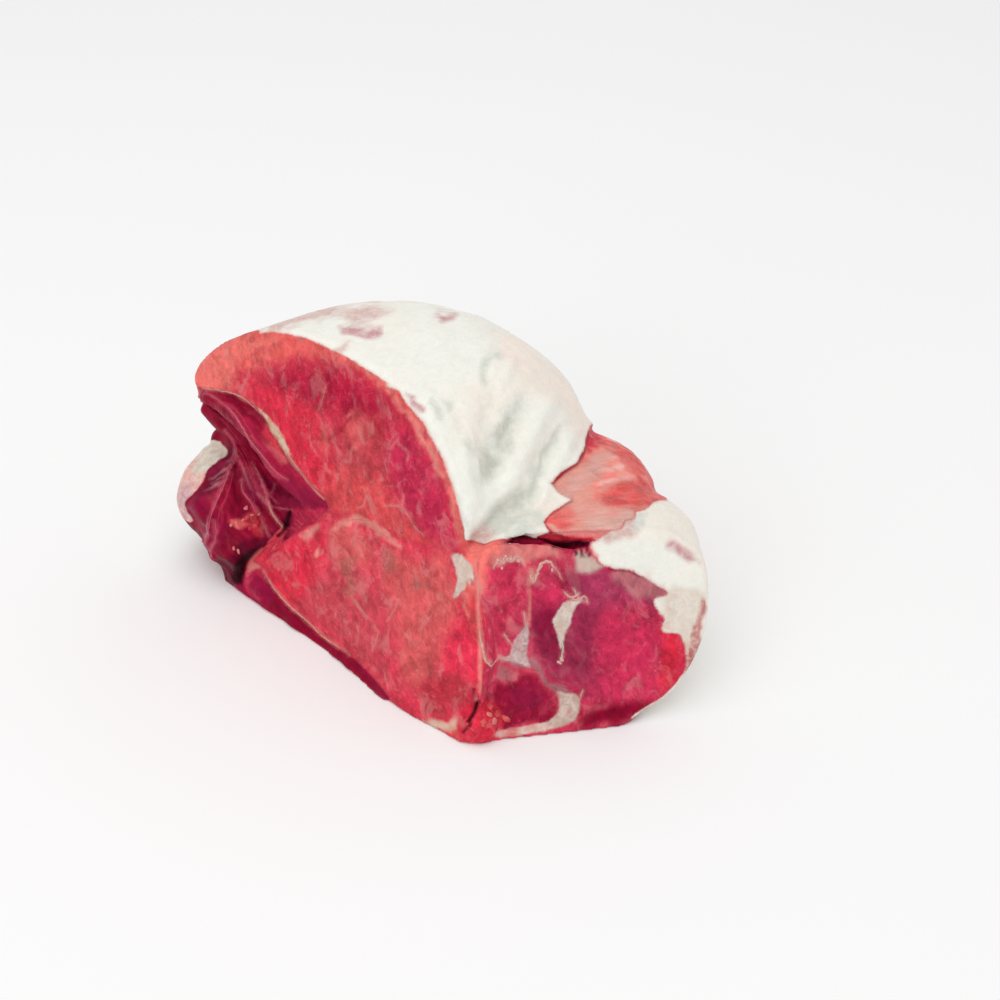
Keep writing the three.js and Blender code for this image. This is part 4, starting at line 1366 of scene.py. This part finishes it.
def lean_group():
    """Raw muscle: mottled along the fibres, with a dull film, soft veins and pale specks, partly fat
    flecks and partly painted glints.
    """
    tree, given, out = find_group(
        "Lean Muscle",
        (("Tint", COLOUR, None), ("Grain", VECTOR, None), ("Place", VECTOR, None),
         ("Mottling", VALUE, 1.0)),
        (("Colour", COLOUR), ("Height", VALUE)),
    )
    if given is None:
        return tree
    tint, grain, place = (given.outputs[name] for name in ("Tint", "Grain", "Place"))
    broad = add_noise(tree, grain, 70.0, 4.0, 0.6, 0.3)
    middling = add_noise(tree, grain, 200.0, 5.0, 0.58, 0.7)
    fine = add_noise(tree, place, 620.0, 3.0, 0.55)
    shade = sum_of(tree, ((broad, 1.0), (middling, 1.4), (fine, 0.4)))
    channels = add_node(tree, "ShaderNodeSeparateColor", {0: tint}).outputs
    calm = add_ramp(tree, channels["Green"], 0.08, 0.3, 1.0, 0.5)
    depth = add_math(tree, "MULTIPLY", calm, given.outputs["Mottling"])
    shaded = add_shade(tree, tint, add_math(tree, "MULTIPLY_ADD", shade, depth, 1.0))
    pallor = add_ramp(tree, channels["Red"], 0.2, 0.55, 0.0, 0.42)
    pale = add_mix(tree, pallor, tint, PALE_THREAD)
    film = add_ramp(tree, add_noise(tree, grain, 96.0, 6.0, 0.62, 0.8), 0.5, 0.68, 0.0, 0.55)
    winding = add_math(tree, "SUBTRACT", add_noise(tree, grain, 110.0, 3.0, 0.55, 0.9), 0.5)
    vein = add_ramp(tree, add_math(tree, "ABSOLUTE", winding), 0.0, 0.024, 1.0, 0.0)
    where = add_ramp(tree, middling, 0.46, 0.66, 0.0, 0.4)
    # Pale specks: partly fat flecks, partly painted glints of wet shine.
    flecks_and_glints = add_ramp(tree, add_noise(tree, place, 1150.0, 2.0, 0.5), 0.62, 0.76, 0.0, 0.45)
    marbling = add_math(tree, "MULTIPLY_ADD", vein, where, flecks_and_glints)
    marbling = add_math(tree, "ADD", marbling, film, clamp=True)
    colour = add_mix(tree, marbling, shaded, pale)
    height = sum_of(tree, ((middling, 0.8), (fine, 0.5), (vein, 0.15)))
    fill(tree, out, {"Colour": colour, "Height": height})
    return tree


def fat_group():
    """Firm fat: the tint worn thin in places, with faint warm clouds, knife drags and wrinkles."""
    tree, given, out = find_group(
        "Firm Fat",
        (("Tint", COLOUR, None), ("Place", VECTOR, None)),
        (("Colour", COLOUR), ("Height", VALUE)),
    )
    if given is None:
        return tree
    place = given.outputs["Place"]
    worn = add_ramp(tree, add_noise(tree, place, 210.0, 6.0, 0.72, 0.6), 0.36, 0.6, 0.62, 1.0)
    stained = add_mix(tree, worn, FAT_WHITE, given.outputs["Tint"])
    broad = add_noise(tree, place, 38.0, 5.0, 0.6)
    clouds = add_ramp(tree, broad, 0.5, 0.74, 0.0, 0.4)
    colour = add_mix(tree, clouds, stained, WARM_CLOUD)
    drags = add_noise(tree, place, 150.0, 5.0, 0.6, 0.8)
    wrinkles = add_noise(tree, place, 520.0, 4.0, 0.65, 0.4)
    shade = sum_of(tree, ((broad, 0.12), (drags, 0.16), (wrinkles, 0.12)))
    shaded = add_shade(tree, colour, add_math(tree, "ADD", shade, 1.0))
    height = sum_of(tree, ((drags, 1.3), (wrinkles, 0.7)))
    fill(tree, out, {"Colour": shaded, "Height": height})
    return tree


def ragged_edge_group():
    """A soft uneven border between lean and fat, from the distance to the fat's edge in metres."""
    tree, given, out = find_group(
        "Ragged Edge",
        (("Distance", VALUE, 0.0), ("Place", VECTOR, None)),
        (("Fat", VALUE),),
    )
    if given is None:
        return tree
    place = given.outputs["Place"]
    broad = add_noise(tree, place, 300.0, 5.0, 0.7, 0.5)
    fine = add_noise(tree, place, 1100.0, 2.0)
    wander = sum_of(tree, ((broad, 0.0015), (fine, 0.0006)))
    moved = add_math(tree, "ADD", given.outputs["Distance"], wander)
    fill(tree, out, {"Fat": add_ramp(tree, moved, -0.0006, 0.0005, 1.0, 0.0)})
    return tree


def moisture_group():
    """Wet and dry patches, as a roughness and a mask for the wet film."""
    tree, given, out = find_group(
        "Moisture",
        (("Place", VECTOR, None), ("Wet", VALUE, 0.3), ("Dry", VALUE, 0.55)),
        (("Roughness", VALUE), ("Film", VALUE)),
    )
    if given is None:
        return tree
    patches = add_noise(tree, given.outputs["Place"], 70.0, 4.0)
    roughness = add_ramp(tree, patches, 0.38, 0.64, given.outputs["Dry"], given.outputs["Wet"])
    film = add_ramp(tree, patches, 0.52, 0.7, 0.0, 0.22)
    fill(tree, out, {"Roughness": roughness, "Film": film})
    return tree


def start_material(name, glow_radius, **constants):
    """A material with its shader and the shader's plain values."""
    material = bpy.data.materials.new(name)
    material.use_nodes = True
    tree = material.node_tree
    shader = tree.nodes["Principled BSDF"]
    for socket, value in constants.items():
        shader.inputs[socket.replace("_", " ")].default_value = value
    shader.inputs["Subsurface Radius"].default_value = glow_radius
    return material, tree, shader


def carried(tree, name, kind="Color"):
    """What the mesh carries on its points."""
    return add_node(tree, "ShaderNodeAttribute", attribute_name=name).outputs[kind]


def wet_look(tree, shader, colour, roughness, film, relief):
    """Give the shader its colour, its wet film, and its relief as height, strength and depth."""
    bump = add_node(tree, "ShaderNodeBump", dict(zip(("Height", "Strength", "Distance"), relief)))
    fill(tree, shader, {
        "Base Color": colour,
        "Roughness": roughness,
        "Coat Weight": film,
        "Normal": bump.outputs[0],
    })


def meat_material(name, glow_radius, glint, mottling, wet, dry):
    """Lean and fat side by side, parted by the ragged edge, under one moist film."""
    material, tree, shader = start_material(
        name, glow_radius, Subsurface_Weight=0.10, Subsurface_Scale=0.003,
        Specular_IOR_Level=0.1, Specular_Tint=glint, Coat_Roughness=0.16,
    )
    place = add_node(tree, "ShaderNodeTexCoord").outputs["Object"]
    muscle = add_group(tree, lean_group(), {
        "Tint": carried(tree, "lean_tint"),
        "Grain": carried(tree, "grain", "Vector"),
        "Place": place,
        "Mottling": mottling,
    }).outputs
    cap = add_group(tree, fat_group(), {"Tint": carried(tree, "fat_tint"), "Place": place}).outputs
    distance = carried(tree, "fat_edge", "Fac")
    edge = add_group(tree, ragged_edge_group(), {"Distance": distance, "Place": place}).outputs["Fat"]
    colour = add_mix(tree, edge, muscle["Colour"], cap["Colour"])
    height = add_mix(tree, edge, muscle["Height"], cap["Height"], "FLOAT")
    moist = add_group(tree, moisture_group(), {"Place": place, "Wet": wet, "Dry": dry}).outputs
    red = add_node(tree, "ShaderNodeSeparateColor", {0: colour}).outputs["Red"]
    film = add_math(tree, "MULTIPLY", moist["Film"], add_ramp(tree, red, 0.15, 0.55, 0.05, 1.0))
    lifted = add_math(tree, "MULTIPLY_ADD", edge, 0.5, height)
    wet_look(tree, shader, colour, moist["Roughness"], film, (lifted, 0.6, 0.0008))
    return material


def lean_material(mottling):
    """Moist raw muscle in deep and pale reds."""
    return meat_material("Lean Meat", (1.0, 0.25, 0.2), (1.0, 0.4, 0.45, 1), mottling, 0.26, 0.5)


def fat_material(mottling):
    """Firm cool-white fat."""
    return meat_material("Pork Fat", (1.0, 0.8, 0.7), (1.0, 1.0, 1.0, 1), mottling, 0.32, 0.52)


def membrane_material():
    """Thin pale membrane and gristle, smooth and wet."""
    material, tree, shader = start_material(
        "Membrane", (1.0, 0.5, 0.4), Subsurface_Weight=0.1, Subsurface_Scale=0.002,
        Specular_IOR_Level=0.3, Coat_Roughness=0.2,
    )
    place = add_node(tree, "ShaderNodeTexCoord").outputs["Object"]
    streaks = add_noise(tree, place, 600.0, 3.0)
    shade = add_ramp(tree, streaks, 0.3, 0.7, 0.82, 1.05)
    colour = add_shade(tree, carried(tree, "tint"), shade)
    moist = add_group(tree, moisture_group(), {"Place": place, "Wet": 0.25, "Dry": 0.42}).outputs
    wet_look(tree, shader, colour, moist["Roughness"], moist["Film"], (streaks, 0.4, 0.0004))
    return material


def add_object(name, data):
    """An object that holds the data, linked to the scene."""
    made = bpy.data.objects.new(name, data)
    bpy.context.scene.collection.objects.link(made)
    return made


def add_piece(mesh, material):
    """A piece that moves with the leg, stands for its solid and takes its finish from a slot."""
    mesh.materials.append(material)
    piece = add_object(mesh.name, mesh)
    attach(piece, BODY)
    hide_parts(NODE)


def smooth_faces(mesh):
    """Shade all the mesh's faces smooth."""
    mesh.polygons.foreach_set("use_smooth", [True] * len(mesh.polygons))


def net_mesh(name, points, faces, normals, layers):
    """A smooth mesh from points in metres, carrying the given layers."""
    mesh = bpy.data.meshes.new(name)
    mesh.from_pydata(points.tolist(), [], faces.tolist())
    smooth_faces(mesh)
    kinds = {"COLOR": "FLOAT_COLOR", "VECTOR": "FLOAT_VECTOR", "VALUE": "FLOAT"}
    for layer, (kind, values) in layers.items():
        values = np.asarray(values, np.float32)
        if kind == "COLOR":
            values = np.c_[values, np.ones(len(values), np.float32)]
        made = mesh.attributes.new(layer, kinds[kind], "POINT")
        made.data.foreach_set(kind.lower(), values.ravel())
    mesh.normals_split_custom_set_from_vertices(normals.tolist())
    return mesh


def form_mesh(name, form):
    """A smooth mesh from a form built point by point."""
    mesh = bpy.data.meshes.new(name)
    form.to_mesh(mesh)
    form.free()
    if not mesh.polygons:
        raise RuntimeError(f"no part of the {name} found the meat")
    smooth_faces(mesh)
    return mesh


def find_surface():
    """The finished meat, to lay finer pieces on along the lines of sight."""
    points, faces = [], []
    for name in ("lean_meat", "fat_cap"):
        mesh = bpy.data.objects[name].data
        first = len(points)
        points.extend(vertex.co.copy() for vertex in mesh.vertices)
        faces.extend([n + first for n in face.vertices] for face in mesh.polygons)
    return BVHTree.FromPolygons(points, faces)


def lay_down(surface, across, down):
    """The place and direction of the surface seen at a pixel, in metres."""
    eye = Vector((view_axes()[0] - REST_CENTRE) * MM)
    place, normal, _, _ = surface.ray_cast(eye, Vector(sight_line(across, down)))
    return place, normal


def open_curve(points, spacing):
    """Points about a spacing apart along a smooth curve through the given ones."""
    corners = [2 * np.array(points[0]) - points[1], *map(np.array, points)]
    corners.append(2 * corners[-1] - corners[-2])
    line = []
    for before, start, end, after in zip(corners, corners[1:], corners[2:], corners[3:]):
        steps = max(1, round(np.linalg.norm(end - start) / spacing))
        line += [curve_point(before, start, end, after, n / steps) for n in range(steps)]
    line.append(corners[-2])
    return line


def strand_mesh(form, tint, surface, colour, half_width, line, draw):
    """A flattened strand that lies on the meat along a line in the picture, in one or more runs."""
    runs = [[]]
    for across, down in open_curve(line, STRAND_STEP):
        place, normal = lay_down(surface, across, down)
        if place is None:
            continue
        if runs[-1] and (place - runs[-1][-1][0]).length > STRAND_BREAK:
            runs.append([])
        runs[-1].append((place, normal))
    for spots in runs:
        if len(spots) > 2:
            strand_run(form, tint, colour, half_width, spots, draw)


def strand_run(form, tint, colour, half_width, spots, draw):
    """One unbroken run of a strand, thinning to a point at both ends."""
    rings = []
    last = len(spots) - 1
    for n, (place, normal) in enumerate(spots):
        ahead = spots[min(n + 1, last)][0] - spots[max(n - 1, 0)][0]
        side = normal.cross(ahead).normalized()
        taper = math.sin(math.pi * (n + 0.6) / (last + 1.2)) ** 0.5
        width = STRAND_FINENESS * half_width * MM * taper * draw.uniform(*STRAND_WIDTHS)
        centre = place + side * half_width * MM * draw.uniform(-STRAND_WANDER, STRAND_WANDER)
        ring = []
        for turn in range(STRAND_SIDES):
            angle = 2 * math.pi * turn / STRAND_SIDES
            rise = width * STRAND_FLATNESS * (math.sin(angle) + STRAND_LIFT)
            vertex = form.verts.new(centre + side * width * math.cos(angle) + normal * rise)
            vertex[tint] = (*colour, 1)
            ring.append(vertex)
        rings.append(ring)
    for ring, following in zip(rings, rings[1:]):
        for turn in range(STRAND_SIDES):
            beyond = (turn + 1) % STRAND_SIDES
            form.faces.new((ring[turn], ring[beyond], following[beyond], following[turn]))
    form.faces.new(reversed(rings[0]))
    form.faces.new(rings[-1])


def scrap_mesh(form, layers, surface, colour, radius, spot, draw):
    """A small torn lump of meat or fat, pressed into the surface."""
    place, normal = lay_down(surface, *spot)
    if place is None:
        return
    made = bmesh.ops.create_icosphere(form, subdivisions=2, radius=1.0)["verts"]
    turn = normal.to_track_quat("Z", "Y").to_matrix()
    spin = Matrix.Rotation(draw.uniform(0, math.tau), 3, "Z")
    stretch = draw.uniform(*SCRAP_STRETCHES)
    bumps = draw.normal(0, 1, (3, 3))
    for vertex in made:
        way = vertex.co.normalized()
        waves = sum(math.sin(SCRAP_RIPPLE * way.dot(Vector(b)) + n) for n, b in enumerate(bumps))
        lump = 1 + SCRAP_LUMPS * waves
        shape = Vector((way.x * stretch, way.y / stretch, way.z * SCRAP_FLATNESS))
        shape = shape * lump * radius * MM
        vertex.co = place + turn @ (spin @ shape)
        vertex[layers["lean_tint"]] = (*colour, 1)
        vertex[layers["fat_tint"]] = (*colour, 1)
        vertex[layers["grain"]] = vertex.co
        vertex[layers["fat_edge"]] = ALL_LEAN


class PorkLegSettings(bpy.types.PropertyGroup):
    """The leg's settings, shown in the sidebar"""

    fat_thickness: bpy.props.FloatProperty(
        name="Fat Thickness", description="How thick the fat is at its cut edges, in millimetres",
        default=2.6, min=0.5, max=12)
    net_pitch: bpy.props.FloatProperty(
        name="Mesh Pitch", description="Spacing of the surface's points, in millimetres",
        default=1.4, min=1, max=6)
    mottling: bpy.props.FloatProperty(
        name="Mottling", description="How strongly the lean meat is mottled",
        default=1.0, min=0, max=2, subtype="FACTOR")
    floor_colour: bpy.props.FloatVectorProperty(
        name="Floor", description="Colour of the studio floor",
        default=(0.97, 0.97, 0.97), min=0, max=1, subtype="COLOR")
    light: bpy.props.FloatProperty(
        name="Light", description="Strength of the soft studio light", default=1.0, min=0, max=4)


class PORKLEG_OT_meat(bpy.types.Operator):
    """Build the lean meat and the fat that covers it"""

    bl_idname = "pork_leg.meat"
    bl_label = "Meat and Fat"

    def execute(self, context):
        settings = context.scene.pork_leg
        pitch = settings.net_pitch
        surface = LegSurface(pitch, settings.fat_thickness)
        low, high = (np.array(corner) for corner in CAD_BOX)
        finishes = (
            ("lean_meat", "lean", lean_material(settings.mottling)),
            ("fat_cap", "fat", fat_material(settings.mottling)),
        )
        for (name, slot, material), (values, faces) in zip(finishes, surface.parted()):
            points, normals, lean, fat, grain, edge = np.split(values, (3, 6, 9, 12, 15), axis=1)
            points = np.clip((points - REST_CENTRE) * MM, low, high)
            layers = {
                "lean_tint": ("COLOR", lean),
                "fat_tint": ("COLOR", fat),
                "grain": ("VECTOR", grain),
                "fat_edge": ("VALUE", edge),
            }
            add_piece(net_mesh(name, points, faces, normals, layers), material)
        return {"FINISHED"}


class PORKLEG_OT_membranes(bpy.types.Operator):
    """Lay the pale membranes, threads of fat and gristle over the meat"""

    bl_idname = "pork_leg.membranes"
    bl_label = "Membranes"

    def execute(self, context):
        surface = find_surface()
        draw = np.random.default_rng(STRAND_SEED)
        form = bmesh.new()
        tint = form.verts.layers.float_color.new("tint")
        for colour, half_width, line in STRANDS:
            strand_mesh(form, tint, surface, linear(colour), half_width, line, draw)
        bmesh.ops.recalc_face_normals(form, faces=form.faces)
        add_piece(form_mesh("membranes", form), membrane_material())
        return {"FINISHED"}


class PORKLEG_OT_scraps(bpy.types.Operator):
    """Press small torn scraps of meat and fat onto the leg"""

    bl_idname = "pork_leg.scraps"
    bl_label = "Scraps"

    def execute(self, context):
        surface = find_surface()
        draw = np.random.default_rng(SCRAP_SEED)
        form = bmesh.new()
        kinds = form.verts.layers
        layers = {
            "lean_tint": kinds.float_color.new("lean_tint"),
            "fat_tint": kinds.float_color.new("fat_tint"),
            "grain": kinds.float_vector.new("grain"),
            "fat_edge": kinds.float.new("fat_edge"),
        }
        for colour, radius, *spots in SCRAPS:
            for spot in spots:
                scrap_mesh(form, layers, surface, linear(colour), radius, spot, draw)
        add_piece(form_mesh("scraps", form), bpy.data.materials["Lean Meat"])
        return {"FINISHED"}


def add_floor(colour):
    """A wide pale disc for the leg to lie on."""
    mesh = bpy.data.meshes.new("studio_floor")
    form = bmesh.new()
    bmesh.ops.create_circle(form, cap_ends=True, segments=96, radius=FLOOR_RADIUS)
    form.to_mesh(mesh)
    form.free()
    floor = add_object("studio_floor", mesh)
    material = bpy.data.materials.new("Studio Floor")
    material.use_nodes = True
    tree = material.node_tree
    dull = {"Base Color": (*colour, 1), "Roughness": 0.9, "Specular IOR Level": 0.1}
    fill(tree, tree.nodes["Principled BSDF"], dull)
    mesh.materials.append(material)


def add_sky(strength):
    """An even white sky."""
    world = bpy.data.worlds.new("Studio")
    world.use_nodes = True
    tree = world.node_tree
    fill(tree, tree.nodes["Background"], {"Color": (1, 1, 1, 1), "Strength": strength})
    bpy.context.scene.world = world


def add_soft_box(name, place, size, power):
    """A soft rectangular light that faces the leg."""
    light = bpy.data.lights.new(name, "AREA")
    light.shape = "RECTANGLE"
    light.size, light.size_y = size
    light.energy = power
    box = add_object(name, light)
    box.location = place
    box.rotation_euler = (-Vector(place)).to_track_quat("-Z", "Y").to_euler()


def add_camera():
    """The camera at the photo's viewpoint."""
    camera = bpy.data.cameras.new("camera")
    camera.lens = LENS_MM
    camera.sensor_width = SENSOR_MM
    view = add_object("camera", camera)
    eye, ahead, _ = view_axes()
    view.location = (eye - REST_CENTRE) * MM
    view.rotation_euler = Vector(ahead).to_track_quat("-Z", "Y").to_euler()
    bpy.context.scene.camera = view


class PORKLEG_OT_stage(bpy.types.Operator):
    """Build the pale floor, the soft light and the camera"""

    bl_idname = "pork_leg.stage"
    bl_label = "Stage"

    def execute(self, context):
        settings = context.scene.pork_leg
        add_floor(settings.floor_colour)
        add_sky(SKY_STRENGTH * settings.light)
        for name, place, size, power in SOFT_BOXES:
            add_soft_box(name, place, size, power * settings.light)
        add_camera()
        context.scene.view_settings.view_transform = "Standard"
        return {"FINISHED"}


class PORKLEG_PT_panel(bpy.types.Panel):
    """The leg's settings and steps in the 3D view's sidebar"""

    bl_idname = "PORKLEG_PT_panel"
    bl_label = "Pork Leg"
    bl_space_type = "VIEW_3D"
    bl_region_type = "UI"
    bl_category = "Pork Leg"

    def draw(self, context):
        settings = context.scene.pork_leg
        for name in PorkLegSettings.__annotations__:
            self.layout.prop(settings, name)
        for operator in STEPS:
            self.layout.operator(operator.bl_idname)


STEPS = (PORKLEG_OT_meat, PORKLEG_OT_membranes, PORKLEG_OT_scraps, PORKLEG_OT_stage)
CLASSES = (PorkLegSettings, *STEPS, PORKLEG_PT_panel)


def register():
    """Make the settings, the steps and the panel known."""
    for cls in CLASSES:
        bpy.utils.register_class(cls)
    bpy.types.Scene.pork_leg = bpy.props.PointerProperty(type=PorkLegSettings)


def unregister():
    """Take back what register does."""
    del bpy.types.Scene.pork_leg
    for cls in reversed(CLASSES):
        bpy.utils.unregister_class(cls)


def main():
    """Build the whole scene."""
    register()
    bpy.ops.pork_leg.meat()
    bpy.ops.pork_leg.membranes()
    bpy.ops.pork_leg.scraps()
    bpy.ops.pork_leg.stage()


if __name__ == "__main__":
    main()
